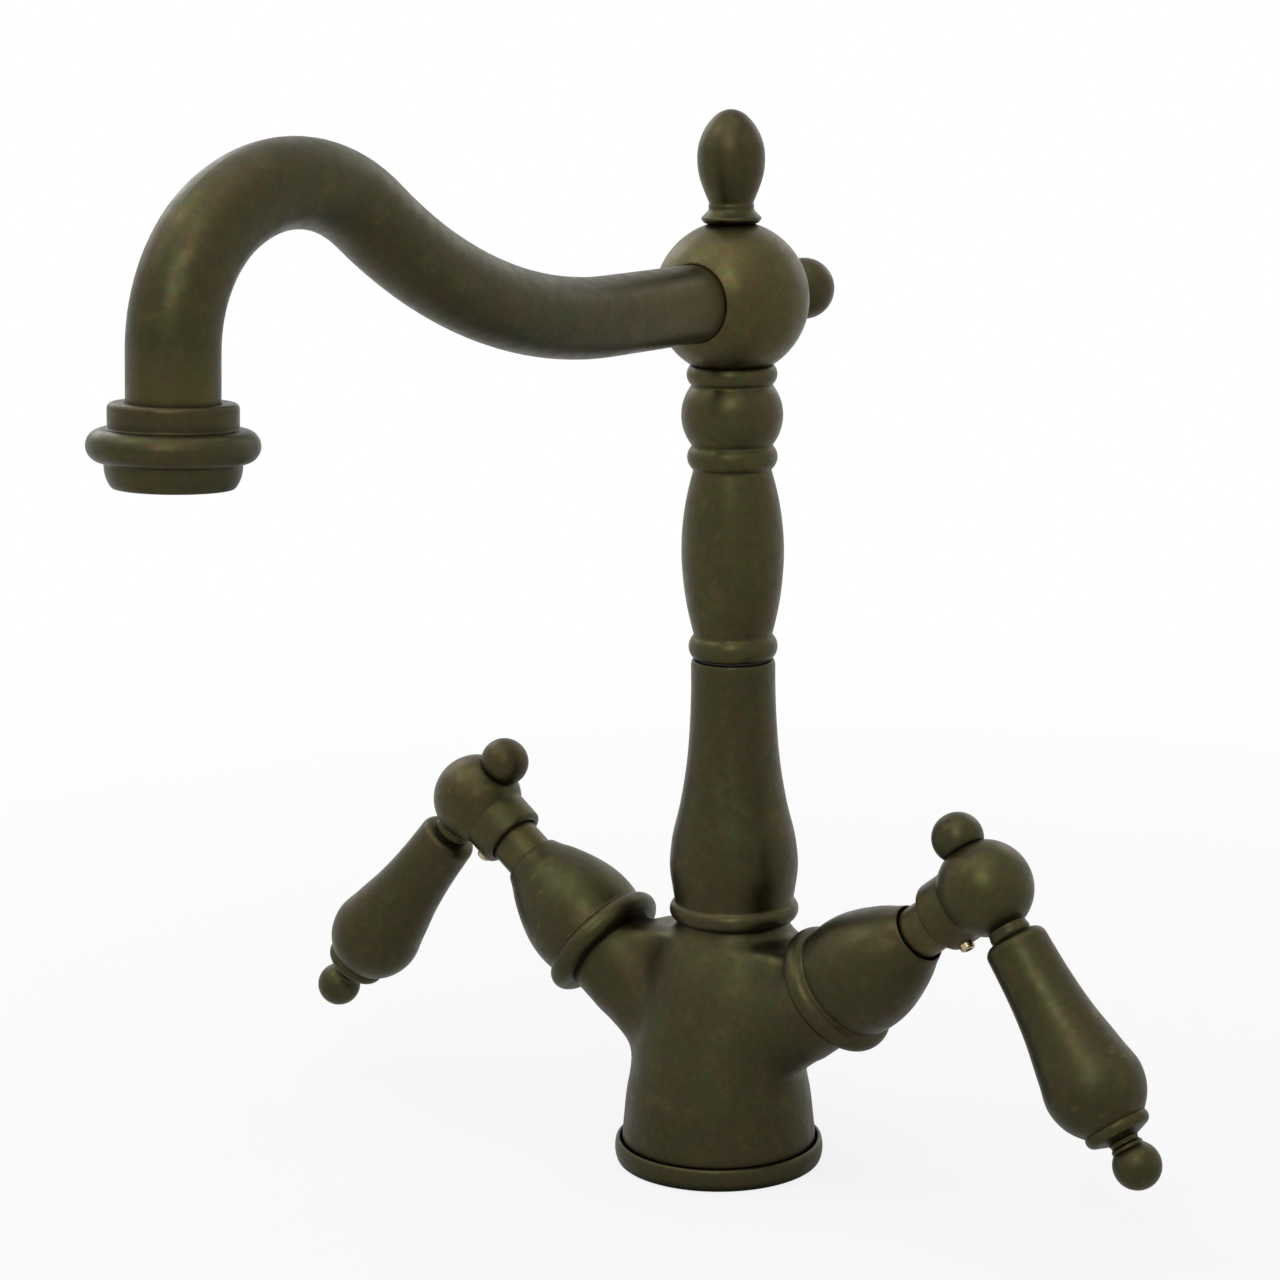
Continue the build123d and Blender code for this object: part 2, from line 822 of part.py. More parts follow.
# Handle pieces, the same on both sides
def make_hub(arm, lever, screw):
    """Ball with a sleeve round the stem, and cross holes for the lever's rod and the set screw."""
    with BuildPart() as hub:
        bar(arm, sleeve_r, sleeve_start, hub_at)
        fillet(hub.edges().group_by(axis_of(arm))[0], radius=sleeve_edge)
        with Locations(arm.offset(hub_at)):
            Sphere(hub_r)
        bore(arm, sleeve_recess_r, sleeve_start, sleeve_recess_end)
        bore(arm, stem_r, sleeve_recess_end, stem_end)
        bore(lever, rod_r, -hub_r - 1, hub_r + 1)
        bore(screw, set_screw_r, 0, sleeve_r + 1)
    return hub


def make_lever_rod(lever):
    with BuildPart() as rod:
        bar(lever, rod_r, rod_start, rod_end)
    return rod


def make_knob(lever):
    """Round knob, seated against the hub's ball."""
    with BuildPart() as knob:
        with Locations(lever.offset(knob_at)):
            Sphere(knob_r)
        with Locations(lever):
            Sphere(hub_r, mode=Mode.SUBTRACT)
        bore(lever, rod_r, rod_start, 0)
    return knob


def make_lever_neck(lever):
    """Small bead between the hub's ball and the grip."""
    with BuildPart() as neck:
        with BuildSketch(section(lever)):
            with BuildLine():
                root = Polyline(
                    (rod_r, grip_start),
                    (rod_r, lever_neck_start),
                    (lever_neck_r - 0.3, lever_neck_start),
                    (lever_neck_r - 0.3, neck_bead_start),
                )
                bead = ThreePointArc(
                    root @ 1,
                    (lever_neck_r, neck_bead_start + 1),
                    (lever_groove_r, neck_bead_start + 2.2),
                )
                Polyline(bead @ 1, (lever_groove_r, grip_start), root @ 0)
            make_face()
        revolve(axis=axis_of(lever))
        with Locations(lever):
            Sphere(hub_r, mode=Mode.SUBTRACT)
    return neck


def make_lever_grip(lever):
    """Long flared grip."""
    with BuildPart() as grip:
        with BuildSketch(section(lever)):
            with BuildLine():
                root = Line((rod_r, grip_start), (grip_root_r, grip_start))
                shoulder = ThreePointArc(
                    root @ 1, (grip_shoulder_r - 0.5, grip_shoulder_at - 1.1), (grip_shoulder_r, grip_shoulder_at)
                )
                flare = Spline(
                    shoulder @ 1,
                    (8.6, 22.5),
                    (8.85, 28.0),
                    (9.85, 38.5),
                    (12.0, 50.5),
                    (grip_belly_r, grip_belly_at),
                    (11.8, 64.0),
                    (grip_end_r, grip_end),
                )
                Polyline(flare @ 1, (rod_r, grip_end), root @ 0)
            make_face()
        revolve(axis=axis_of(lever))
    return grip


def make_end_ring(lever):
    """Bead under the grip, with a short concave neck."""
    with BuildPart() as end_ring:
        with BuildSketch(section(lever)):
            with BuildLine():
                root = Line((rod_r, grip_end), (end_ring_foot_r, grip_end))
                bead = ThreePointArc(
                    root @ 1, (end_ring_r, end_ring_at), (end_ring_top_r, end_ring_top_at)
                )
                Polyline(bead @ 1, (tip_neck_r + 0.6, tip_neck_start), (rod_r, tip_neck_start), root @ 0)
            make_face()
        revolve(axis=axis_of(lever))
    return end_ring


def make_tip(lever):
    """Small ball at the lever's end, with a fine bead at its neck."""
    neck_r = tip_bead_r - 0.4
    neck_end = tip_at - sqrt(tip_r**2 - neck_r**2)
    with BuildPart() as tip:
        with BuildSketch(section(lever)):
            with BuildLine():
                root = Polyline(
                    (0, tip_at + tip_r),
                    (0, rod_end),
                    (rod_r, rod_end),
                    (rod_r, tip_neck_start),
                    (tip_neck_r + 0.6, tip_neck_start),
                )
                neck = ThreePointArc(
                    root @ 1, (tip_neck_r, tip_neck_at), (tip_neck_r + 0.1, tip_neck_at + 0.4)
                )
                bead = ThreePointArc(neck @ 1, (tip_bead_r, tip_bead_at), (neck_r, neck_end))
                ThreePointArc(bead @ 1, (tip_r, tip_at), root @ 0)
            make_face()
        revolve(axis=axis_of(lever))
    return tip


for temperature, side in (("hot", -1), ("cold", 1)):
    arm = arm_plane(side)
    lever = lever_plane(side)
    turned = radians(set_screw_forward_angle)
    screw = Plane(
        origin=arm.offset(set_screw_at).origin,
        x_dir=arm.z_dir,
        z_dir=arm.x_dir * cos(turned) + Vector(0, -1, 0) * sin(turned),
    )
    handle_pieces = {
        "seat_seal": ring(arm, seat_seal_inner_r, arm_bore_r, seat_at, cartridge_start),
        "cartridge": make_cartridge(arm),
        "fixed_disc": make_disc(arm, arm.x_dir, cartridge_start),
        "moving_disc": make_moving_disc(arm),
        "stem": make_stem(arm),
        "stem_o_rings": o_rings(
            arm, stem_r + running_gap / 2 - stem_o_ring_r, stem_o_ring_r, stem_o_ring_ats
        ),
        "stem_circlip": ring(arm, circlip_groove_r, circlip_r, circlip_at, circlip_at + circlip_thickness),
        "gland_nut": make_gland_nut(arm),
        "bonnet": make_bonnet(arm),
        "hub": make_hub(arm, lever, screw),
        "set_screw": grub_screw(screw, set_screw_r, stem_r, set_screw_head_at),
        "lever_rod": make_lever_rod(lever),
        "knob": make_knob(lever),
        "lever_neck": make_lever_neck(lever),
        "lever_grip": make_lever_grip(lever),
        "lever_end_ring": make_end_ring(lever),
        "lever_tip": make_tip(lever),
    }
    for name, piece in handle_pieces.items():
        save(piece, f"{temperature}_{name}")
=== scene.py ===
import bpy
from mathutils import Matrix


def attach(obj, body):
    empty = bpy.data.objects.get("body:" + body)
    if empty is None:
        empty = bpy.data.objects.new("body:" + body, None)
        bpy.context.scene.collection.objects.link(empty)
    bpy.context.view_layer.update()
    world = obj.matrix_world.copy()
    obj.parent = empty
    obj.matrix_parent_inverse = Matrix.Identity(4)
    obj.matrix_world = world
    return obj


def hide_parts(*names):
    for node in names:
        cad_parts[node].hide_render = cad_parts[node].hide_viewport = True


bl_info = {
    "name": "Two-handle basin tap",
    "version": (1, 0, 0),
    "blender": (4, 5, 0),
    "location": "3D View > Sidebar > Basin tap",
    "description": "Dresses the packed basin tap in turned and cast bronze pieces, and sets its stage",
    "category": "Add Mesh",
}

from math import ceil, cos, pi, radians, sin, sqrt

import bmesh
import bpy
from mathutils import Matrix, Vector
from mathutils.geometry import interpolate_bezier

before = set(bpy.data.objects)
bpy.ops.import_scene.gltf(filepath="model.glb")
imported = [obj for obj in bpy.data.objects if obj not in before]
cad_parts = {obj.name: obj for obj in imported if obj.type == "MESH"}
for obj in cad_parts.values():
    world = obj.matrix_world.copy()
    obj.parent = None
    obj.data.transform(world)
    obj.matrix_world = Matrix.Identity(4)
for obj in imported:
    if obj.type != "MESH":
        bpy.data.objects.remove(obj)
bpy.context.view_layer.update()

# The tap is described in millimetres and placed in metres
MM = 0.001
COLUMN_Y = 8.0
ARM_ROOT_Z = 25.0
ARM_ANGLE = radians(38.0)
LEVER_FORWARD = radians(5.2)
BALL_Z = 238.4
HUB_AT = 107.0
TIP_AT = 80.0
REAR_KNOB_AT = 35.0
OUTLET_REACH = 211.71
OUTLET_LEAN = radians(3.0)
OUTLET_Z = 224.8
SIDES = (("hot", -1), ("cold", 1))

# Fineness of the turned pieces: spacing of points along an outline, and steps round the axis
SPACING = 0.32
ROUND_STEPS = 96
# Fineness of the casting, and the angle from which an edge stays sharp in the shading
VOXEL = 0.75
SHARP_ANGLE = radians(50)

# The camera that took the photograph: how far round the tap, above it and rolled it stood, its distance in
# millimetres, how far its sight passes to the side of and below the tap's middle, and how high that middle is
CAMERA_AZIMUTH = radians(36.28)
CAMERA_PITCH = radians(11.42)
CAMERA_ROLL = radians(-0.56)
CAMERA_DISTANCE = 864.25
PICTURE_SHIFT = (-20.6, -2.84)
MIDDLE_Z = 150.0


def linear(hex_colour):
    """Linear RGBA of an sRGB colour written as #rrggbb."""
    channels = [int(hex_colour[i : i + 2], 16) / 255 for i in (1, 3, 5)]
    return [c / 12.92 if c <= 0.04045 else ((c + 0.055) / 1.055) ** 2.4 for c in channels] + [1.0]


def length(name, description, millimetres):
    """Length that can be set in the panel, given in millimetres and kept in metres."""
    return bpy.props.FloatProperty(
        name=name,
        description=description,
        default=millimetres * MM,
        min=0.0,
        subtype="DISTANCE",
        unit="LENGTH",
        precision=5,
    )


def colour(name, description, hex_colour):
    """Colour that can be set in the panel."""
    return bpy.props.FloatVectorProperty(
        name=name,
        description=description,
        default=linear(hex_colour),
        size=4,
        min=0.0,
        max=1.0,
        subtype="COLOR",
    )


class TapSizes(bpy.types.PropertyGroup):
    base_radius: length("Base ring radius", "Outer radius of the ring under the body", 28.95)
    ball_radius: length("Ball radius", "Radius of the ball that carries the spout", 20.75)
    egg_radius: length("Finial radius", "Largest radius of the egg on the ball", 9.0)
    rear_knob_radius: length("Rear knob radius", "Radius of the knob behind the ball", 8.4)
    outlet_radius: length("Outlet bead radius", "Radius of the bead round the outlet", 18.8)
    bonnet_bead_radius: length("Bonnet bead radius", "Radius of the bead at a bonnet's back", 18.4)
    hub_radius: length("Hub radius", "Radius of the ball that a lever goes through", 12.7)
    grip_radius: length("Grip radius", "Largest radius of a lever's grip", 13.25)
    tip_radius: length("Tip radius", "Radius of the ball at a lever's end", 6.3)
    crease: length("Crease softness", "How far polishing has rounded the creases of the turned pieces", 0.4)
    casting_blend: length("Casting blend", "How far the body's arms run into each other and the cup", 4.2)


class TapFinishes(bpy.types.PropertyGroup):
    bronze_olive: colour("Bronze, olive", "Olive part of the dark patina", "#3e3e28")
    bronze_brown: colour("Bronze, brown", "Brown part of the dark patina", "#433c29")
    bronze_rubbed: colour("Bronze, rubbed", "Bronze that shows where the patina is thin", "#5a5133")
    # Near black painted into creases and joints: dark oil, and painted shade
    bronze_oil_and_shade: colour("Bronze, oil", "Dark oil left in the creases", "#14140c")
    brass: colour("Brass", "Bare machined brass", "#bdb08a")
    steel: colour("Steel", "Stainless steel", "#b4b3b0")
    ceramic: colour("Ceramic", "Lapped ceramic discs", "#e8e5de")
    plastic: colour("Plastic", "Moulded aerator plastic", "#dcdbd6")
    acetal: colour("Black acetal", "Washer of the swivel", "#1c1c1b")
    rubber: colour("Rubber", "Seals and rings", "#232322")
    floor: colour("Floor", "Pale studio floor", "#e6e6e6")
    blotch: length("Patina blotch", "Width of the olive and brown patches", 14.0)
    mottle: length("Patina mottle", "Width of the fine specks of colour within the patches", 1.9)
    grain: length("Metal grain", "Width of the blasted grain, drawn coarser than it is so that it shows", 0.7)


# Settings that several nodes share: a range with soft ends, and a mix of two colours
SOFT = {"interpolation_type": "SMOOTHSTEP"}
COLOURS = {"data_type": "RGBA"}


def add(tree, kind, fields=None, sockets=()):
    """Adds a node with its own fields set, and gives its sockets, by name or in order, values or links."""
    node = tree.nodes.new("ShaderNode" + kind)
    for field, value in (fields or {}).items():
        setattr(node, field, value)
    for socket, value in sockets.items() if isinstance(sockets, dict) else enumerate(sockets):
        if isinstance(value, bpy.types.NodeSocket):
            tree.links.new(value, node.inputs[socket])
        else:
            node.inputs[socket].default_value = value
    return node


def started_material(name):
    """A material with nodes, its tree, its shader, and its object coordinates."""
    material = bpy.data.materials.new(name)
    material.use_nodes = True
    tree = material.node_tree
    shader = tree.nodes["Principled BSDF"]
    place = add(tree, "TexCoord").outputs["Object"]
    return material, tree, shader, place


def cloudy(place, width, detail=3.0):
    """Sockets of a soft noise whose patches are about the given width in metres."""
    return {"Vector": place, "Scale": 1 / width, "Detail": detail, "Roughness": 0.55}


def oil_rubbed_bronze(finishes, name="oil_rubbed_bronze", worn=0.4, self_shade_only=False):
    """Cast or turned brass, blasted fine, patinated dark and rubbed with oil: a satin, nearly even brown-olive
    metal with cloudy patches, warmer metal where it is thin or rubbed on the edges, and soft blurred highlights.
    Creases are painted near black from ambient occlusion: dark oil, and painted shade there and where pieces
    meet. Worn pieces are lighter, and some pieces take no such darkening from the pieces they meet."""
    material, tree, shader, place = started_material(name)
    blotch = finishes.blotch
    clouds = add(tree, "TexNoise", None, cloudy(place, blotch)).outputs["Fac"]
    clouds = add(tree, "MapRange", SOFT, (clouds, 0.3, 0.7)).outputs["Result"]
    thin = add(tree, "TexNoise", None, cloudy(place, blotch * 0.45, 5.0)).outputs["Fac"]
    thin = add(tree, "MapRange", SOFT, (thin, 0.5, 0.8, worn - 0.4, worn)).outputs["Result"]
    mottle = {"Vector": place, "Scale": 1 / finishes.mottle, "Detail": 4.0}
    specks = add(tree, "TexNoise", None, mottle).outputs["Color"]
    edges = add(tree, "NewGeometry").outputs["Pointiness"]
    edges = add(tree, "MapRange", SOFT, (edges, 0.52, 0.6, 0.0, 0.5)).outputs["Result"]
    # Ambient occlusion paints the oil colour into creases and joints: dark oil, and painted shade where pieces
    # meet
    nearby = {"samples": 8, "only_local": self_shade_only}
    creases = add(tree, "AmbientOcclusion", nearby, {"Distance": 4 * MM}).outputs["AO"]
    creases = add(tree, "MapRange", SOFT, (creases, 0.32, 0.9, 0.92, 0.0)).outputs["Result"]
    layers = (
        ("MIX", clouds, finishes.bronze_brown),
        ("MIX", thin, finishes.bronze_rubbed),
        ("OVERLAY", 0.35, specks),
        ("MIX", edges, finishes.bronze_rubbed),
        # Near black in the creases: dark oil, and painted shade
        ("MIX", creases, finishes.bronze_oil_and_shade),
    )
    tone = finishes.bronze_olive
    for blend, share, over in layers:
        mix = {"data_type": "RGBA", "blend_type": blend}
        tone = add(tree, "Mix", mix, {0: share, 6: tone, 7: over}).outputs[2]
    tree.links.new(tone, shader.inputs["Base Color"])
    rough = add(tree, "TexNoise", None, cloudy(place, blotch * 0.3)).outputs["Fac"]
    rough = add(tree, "MapRange", SOFT, (rough, 0.3, 0.7, 0.38, 0.48)).outputs["Result"]
    tree.links.new(rough, shader.inputs["Roughness"])
    shader.inputs["Metallic"].default_value = 1.0
    grain = add(tree, "TexNoise", None, cloudy(place, finishes.grain, 2.0)).outputs["Fac"]
    raised = {"Height": grain, "Distance": 0.02 * MM, "Strength": 1.0}
    tree.links.new(add(tree, "Bump", None, raised).outputs["Normal"], shader.inputs["Normal"])
    return material


def patterned(name, light, dark, width, rough, depth, detail=3.0, stretch=None, grain=None, **own):
    """Material of one pattern, with its width and depth in millimetres. Its colour goes from a light tone towards
    a dark one, which is given as a hex value, a share, and the band of the pattern. Its roughness varies, and its
    surface is raised by the pattern or by a finer grain."""
    material, tree, shader, place = started_material(name)
    if stretch:
        place = add(tree, "Mapping", None, {"Vector": place, "Scale": stretch}).outputs["Vector"]
    pattern = add(tree, "TexNoise", None, cloudy(place, width * MM, detail)).outputs["Fac"]
    shade, share, low, high = dark
    tone = add(tree, "MapRange", SOFT, (pattern, low, high, 0.0, share)).outputs["Result"]
    tone = add(tree, "Mix", COLOURS, {0: tone, 6: light, 7: linear(shade)}).outputs[2]
    tree.links.new(tone, shader.inputs["Base Color"])
    rough = add(tree, "MapRange", SOFT, (pattern, 0.3, 0.7, *rough)).outputs["Result"]
    tree.links.new(rough, shader.inputs["Roughness"])
    if grain:
        pattern = add(tree, "TexNoise", None, cloudy(place, grain * MM)).outputs["Fac"]
    raised = {"Height": pattern, "Distance": depth * MM, "Strength": 1.0}
    tree.links.new(add(tree, "Bump", None, raised).outputs["Normal"], shader.inputs["Normal"])
    for socket, value in own.items():
        shader.inputs[socket].default_value = value
    return material


def machined_brass(finishes):
    """Turned brass left bare: bright yellow metal with fine tool lines along and across the object."""
    name, dark, lines = "machined_brass", ("#8a6f3c", 0.25, 0.3, 0.7), (1.0, 1.0, 6.0)
    return patterned(name, finishes.brass, dark, 0.9, (0.22, 0.34), 0.008, stretch=lines, Metallic=1.0)


def stainless_steel(finishes):
    """Drawn and turned stainless steel: grey metal, lightly streaked along its length."""
    name, dark, streaks = "drawn_stainless_steel", ("#8c8b88", 0.3, 0.3, 0.7), (4.0, 4.0, 1.0)
    return patterned(name, finishes.steel, dark, 1.2, (0.25, 0.38), 0.006, stretch=streaks, Metallic=1.0)


def lapped_ceramic(finishes):
    """Sintered alumina, lapped flat: dense off-white with a soft polish and faint clouding."""
    dark = ("#d8d4ca", 0.5, 0.35, 0.65)
    return patterned("lapped_ceramic", finishes.ceramic, dark, 2.5, (0.16, 0.24), 0.002, grain=0.4, IOR=1.76)


def moulded_plastic(finishes):
    """Acetal moulded in a spark-eroded tool: milky white, matt, with a fine even texture."""
    dark = ("#c9c8c2", 0.35, 0.3, 0.7)
    return patterned("moulded_acetal", finishes.plastic, dark, 0.5, (0.42, 0.55), 0.01, detail=2.0, IOR=1.48)


def black_acetal(finishes):
    """Acetal turned from black rod: near black and waxy, with fine rings that catch a little light."""
    dark = ("#2a2a28", 0.3, 0.3, 0.7)
    return patterned("turned_black_acetal", finishes.acetal, dark, 0.6, (0.4, 0.5), 0.01, detail=2.0, IOR=1.48)


def moulded_rubber(finishes):
    """Nitrile rubber, moulded: matt black with a dusty bloom."""
    name, dark = "moulded_rubber", ("#3a3a38", 0.4, 0.4, 0.7)
    return patterned(name, finishes.rubber, dark, 3.0, (0.6, 0.8), 0.01, detail=4.0, grain=0.3, IOR=1.52)


def shaded_bronze(finishes):
    """The same bronze at the base and the outlet, the darkest with no bare metal: painted shade on these pieces.
    """
    return oil_rubbed_bronze(finishes, "oil_rubbed_bronze_shaded", 0.0)


def worn_bronze(finishes):
    """The same bronze where hands turn the tap: lighter, with more bare metal showing."""
    return oil_rubbed_bronze(finishes, "oil_rubbed_bronze_worn", 0.55)


def joint_unshaded_bronze(finishes):
    """The same bronze on the tube and the levers, with no oil or painted shade from the pieces they meet."""
    return oil_rubbed_bronze(finishes, "oil_rubbed_bronze_joint_unshaded", 0.4, True)


def bright_bronze(finishes):
    """The same bronze on the ball and the round nuts: the most rubbed tone, so the lightest, with no oil or
    painted shade from the pieces they meet.
    """
    return oil_rubbed_bronze(finishes, "oil_rubbed_bronze_bright", 0.8, True)


# Finishes by name
MAKERS = {
    "bronze": oil_rubbed_bronze,
    "shaded bronze": shaded_bronze,
    "worn bronze": worn_bronze,
    "joint-unshaded bronze": joint_unshaded_bronze,
    "bright bronze": bright_bronze,
    "brass": machined_brass,
    "steel": stainless_steel,
    "ceramic": lapped_ceramic,
    "plastic": moulded_plastic,
    "acetal": black_acetal,
    "rubber": moulded_rubber,
}
made_finishes = {}


def finish_for(context, finish):
    """The material of a finish, made when it is first asked for."""
    if finish not in made_finishes:
        made_finishes[finish] = MAKERS[finish](context.scene.tap_finishes)
    return made_finishes[finish]


def carry_over(context, finish, *nodes):
    """Gives CAD nodes that stay as they are a material."""
    for node in nodes:
        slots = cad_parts[node].material_slots
        for held in slots:
            held.material = finish_for(context, finish)
        if not slots:
            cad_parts[node].data.materials.append(finish_for(context, finish))


def line(*end):
    """Run of an outline: straight to a point."""

    def run(start):
        steps = max(1, ceil((Vector(end) - start).length / SPACING))
        return [start.lerp(Vector(end), i / steps) for i in range(1, steps + 1)]

    return run


def arc(via, end):
    """Run of an outline: round arc through one point to another."""

    def run(start):
        first, second = Vector(via) - start, Vector(end) - start
        turn = 2 * (first.x * second.y - first.y * second.x)
        centre = start + Vector(
            (
                second.y * first.length_squared - first.y * second.length_squared,
                first.x * second.length_squared - second.x * first.length_squared,
            )
        ) / turn
        spoke = start - centre
        sweep = spoke.angle_signed(Vector(end) - centre)
        if (turn > 0) == (sweep > 0):
            sweep -= 2 * pi * (1 if sweep > 0 else -1)
        steps = max(2, ceil(abs(sweep) * spoke.length / SPACING))
        return [centre + Matrix.Rotation(-sweep * i / steps, 2) @ spoke for i in range(1, steps + 1)]

    return run


def curve(*points, leave=None, arrive=None):
    """Run of an outline: smooth curve through points, with a direction at either end if one is given."""

    def run(start):
        knots = [start] + [Vector(p) for p in points]
        chords = [b - a for a, b in zip(knots, knots[1:])]
        ways = [
            (a.normalized() * b.length + b.normalized() * a.length).normalized()
            for a, b in zip(chords, chords[1:])
        ]
        first = Vector(leave) if leave else 2 * chords[0].normalized() - ways[0]
        last = Vector(arrive) if arrive else 2 * chords[-1].normalized() - ways[-1]
        ways = [first.normalized()] + ways + [last.normalized()]
        found = []
        for i, chord in enumerate(chords):
            reach = chord.length / 3
            steps = max(2, ceil(chord.length / SPACING))
            handles = (knots[i] + ways[i] * reach, knots[i + 1] - ways[i + 1] * reach)
            found += interpolate_bezier(knots[i], *handles, knots[i + 1], steps + 1)[1:]
        return [p.to_2d() for p in found]

    return run


def along(origin, normal, across):
    """Placing of a turned piece: its axis is local Z, in millimetres on the tap and metres in the scene."""
    z = Vector(normal).normalized()
    x = Vector(across).normalized()
    turn = Matrix((x, z.cross(x), z)).transposed().to_4x4()
    return Matrix.Scale(MM, 4) @ Matrix.Translation(origin) @ turn


def arm_way(side):
    """Direction in which a valve arm rises."""
    return Vector((side * cos(ARM_ANGLE), 0, sin(ARM_ANGLE)))


def arm_place(side):
    """Valve arm: local Z runs out along the arm from its root."""
    return along((0, 0, ARM_ROOT_Z), arm_way(side), (side * sin(ARM_ANGLE), 0, -cos(ARM_ANGLE)))


def lever_place(side):
    """Lever: local Z runs down the lever from the hub's centre."""
    outward = Vector((side * sin(ARM_ANGLE), 0, -cos(ARM_ANGLE)))
    down = outward * cos(LEVER_FORWARD) + Vector((0, -1, 0)) * sin(LEVER_FORWARD)
    return along(Vector((0, 0, ARM_ROOT_Z)) + arm_way(side) * HUB_AT, down, arm_way(side))


BASE = along((0, 0, 0), (0, 0, 1), (1, 0, 0))
COLUMN = along((0, COLUMN_Y, 0), (0, 0, 1), (1, 0, 0))
FORWARD = along((0, COLUMN_Y, BALL_Z), (0, -1, 0), (0, 0, 1))
BEHIND = along((0, COLUMN_Y, BALL_Z), (0, 1, 0), (0, 0, 1))
OUTLET = along(
    (0, COLUMN_Y - OUTLET_REACH, OUTLET_Z), (0, sin(OUTLET_LEAN), cos(OUTLET_LEAN)), (1, 0, 0)
)


def spin_round(made):
    """Spins everything in a mesh once round Z."""
    bmesh.ops.spin(
        made,
        geom=made.verts[:] + made.edges[:],
        cent=(0, 0, 0),
        axis=(0, 0, 1),
        angle=2 * pi,
        steps=ROUND_STEPS,
        use_merge=True,
    )


def turned(context, place, start, *runs, closed=True):
    """Mesh of a turned piece, in metres: an outline of radius and height, its creases softened, spun about
    local Z. A closed outline is a ring round a bore, and an open one ends on the axis."""
    points = [Vector(start)]
    for run in runs:
        points += run(points[-1])
    if closed:
        points.pop()
    made = bmesh.new()
    rim = [made.verts.new((p.x, 0, p.y)) for p in points]
    for a, b in zip(rim, rim[1:]):
        made.edges.new((a, b))
    if closed:
        made.edges.new((rim[-1], rim[0]))
    soft = context.scene.tap_sizes.crease / MM
    free = [v for v in rim if len(v.link_edges) == 2]
    for _ in range(round(2 * (soft / SPACING) ** 2)):
        bmesh.ops.smooth_vert(made, verts=free, factor=0.5, use_axis_x=True, use_axis_z=True)
    bmesh.ops.spin(
        made,
        geom=made.verts[:] + made.edges[:],
        cent=(0, 0, 0),
        axis=(0, 0, 1),
        angle=2 * pi,
        steps=ROUND_STEPS,
        use_merge=True,
    )
    bmesh.ops.remove_doubles(made, verts=made.verts, dist=0.001)
    bmesh.ops.transform(made, matrix=place, verts=made.verts)
    bmesh.ops.recalc_face_normals(made, faces=made.faces)
    return made


def placed(context, name, made):
    """Object of a mesh, in the scene."""
    mesh = bpy.data.meshes.new(name)
    made.to_mesh(mesh)
    made.free()
    piece = bpy.data.objects.new(name, mesh)
    context.scene.collection.objects.link(piece)
    return piece


def finished(context, name, made, finish, body, *nodes):
    """Object of a finished piece, with its material, its body, and the CAD nodes that it stands for."""
    piece = placed(context, name, made)
    for face in piece.data.polygons:
        face.use_smooth = True
    piece.data.set_sharp_from_angle(angle=SHARP_ANGLE)
    piece.data.materials.append(finish_for(context, finish))
    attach(piece, body)
    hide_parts(*nodes)
    return piece


class TAP_OT_base_ring(bpy.types.Operator):
    """Turns the ring between the deck and the body"""

    bl_idname = "tap.base_ring"
    bl_label = "Base ring"

    def execute(self, context):
        rim = context.scene.tap_sizes.base_radius / MM
        made = turned(
            context,
            BASE,
            (19.0, 0.0),
            line(21.5, 0.0),
            line(21.5, 1.8),
            line(25.0, 1.8),
            line(25.0, 0.0),
            line(rim - 0.75, 0.0),
            arc((rim, 3.2), (rim - 0.25, 5.4)),
            arc((28.25, 6.2), (27.4, 6.2)),
            line(27.4, 3.4),
            line(19.0, 3.4),
            line(19.0, 0.0),
        )
        # The base ring takes the darkest bronze: painted shade
        finished(context, "turned_base_ring", made, "shaded bronze", "tap_body", "base_flange")
        return {"FINISHED"}


# Ovals of the cup and the neck, from the foot up: height, half length along X, half depth along Y, and how
# far back the middle lies
CASTING_LEVELS = (
    (-6.0, 26.9, 26.9, 0.0),
    (4.0, 26.95, 26.95, 0.0),
    (8.0, 26.8, 26.8, 0.0),
    (11.0, 26.5, 26.5, 0.0),
    (18.5, 25.75, 25.75, 0.0),
    (24.0, 24.9, 24.7, 0.0),
    (30.0, 24.2, 23.4, 0.2),
    (38.0, 24.0, 21.5, 1.1),
    (46.0, 23.8, 19.8, 2.0),
    (54.0, 23.8, 18.4, 3.6),
    (58.0, 24.1, 17.4, 4.9),
    (61.0, 24.3, 16.7, 6.1),
    (63.6, 24.5, 15.8, 7.2),
    (63.7, 16.4, 15.7, 7.2),
    (67.0, 15.2, 15.1, 7.8),
    (70.0, 14.9, 15.0, 7.9),
)
CASTING_ARM_RADIUS = 13.5
NECK_TOP = 67.0
ARM_END = 46.5
RING_SEAT = 3.4
SHELF_MIDDLE = (0.0, 4.2, 57.1)
SHELF_SIZE = (55.0, 21.0, 13.0)
SHELF_ROUNDING = 3.5
# The part that is blended strongly: from the cup's waist up to the shoulder, and out to the arms
WAIST_Z, SHOULDER_Z, BLEND_REACH = 22, 62, 34
# Radii of the bores, with how deep they go from below or where they start along their axis
STUD_HOLE, STUD_DEPTH = 3.4, 16.0
INLET_HOLE, INLET_DEPTH, INLET_X = 4.5, 12.0, 11.0
SOCKET_HOLE, SOCKET_FLOOR = 11.0, 56.0
VALVE_HOLE, VALVE_FLOOR = 8.5, 24.0


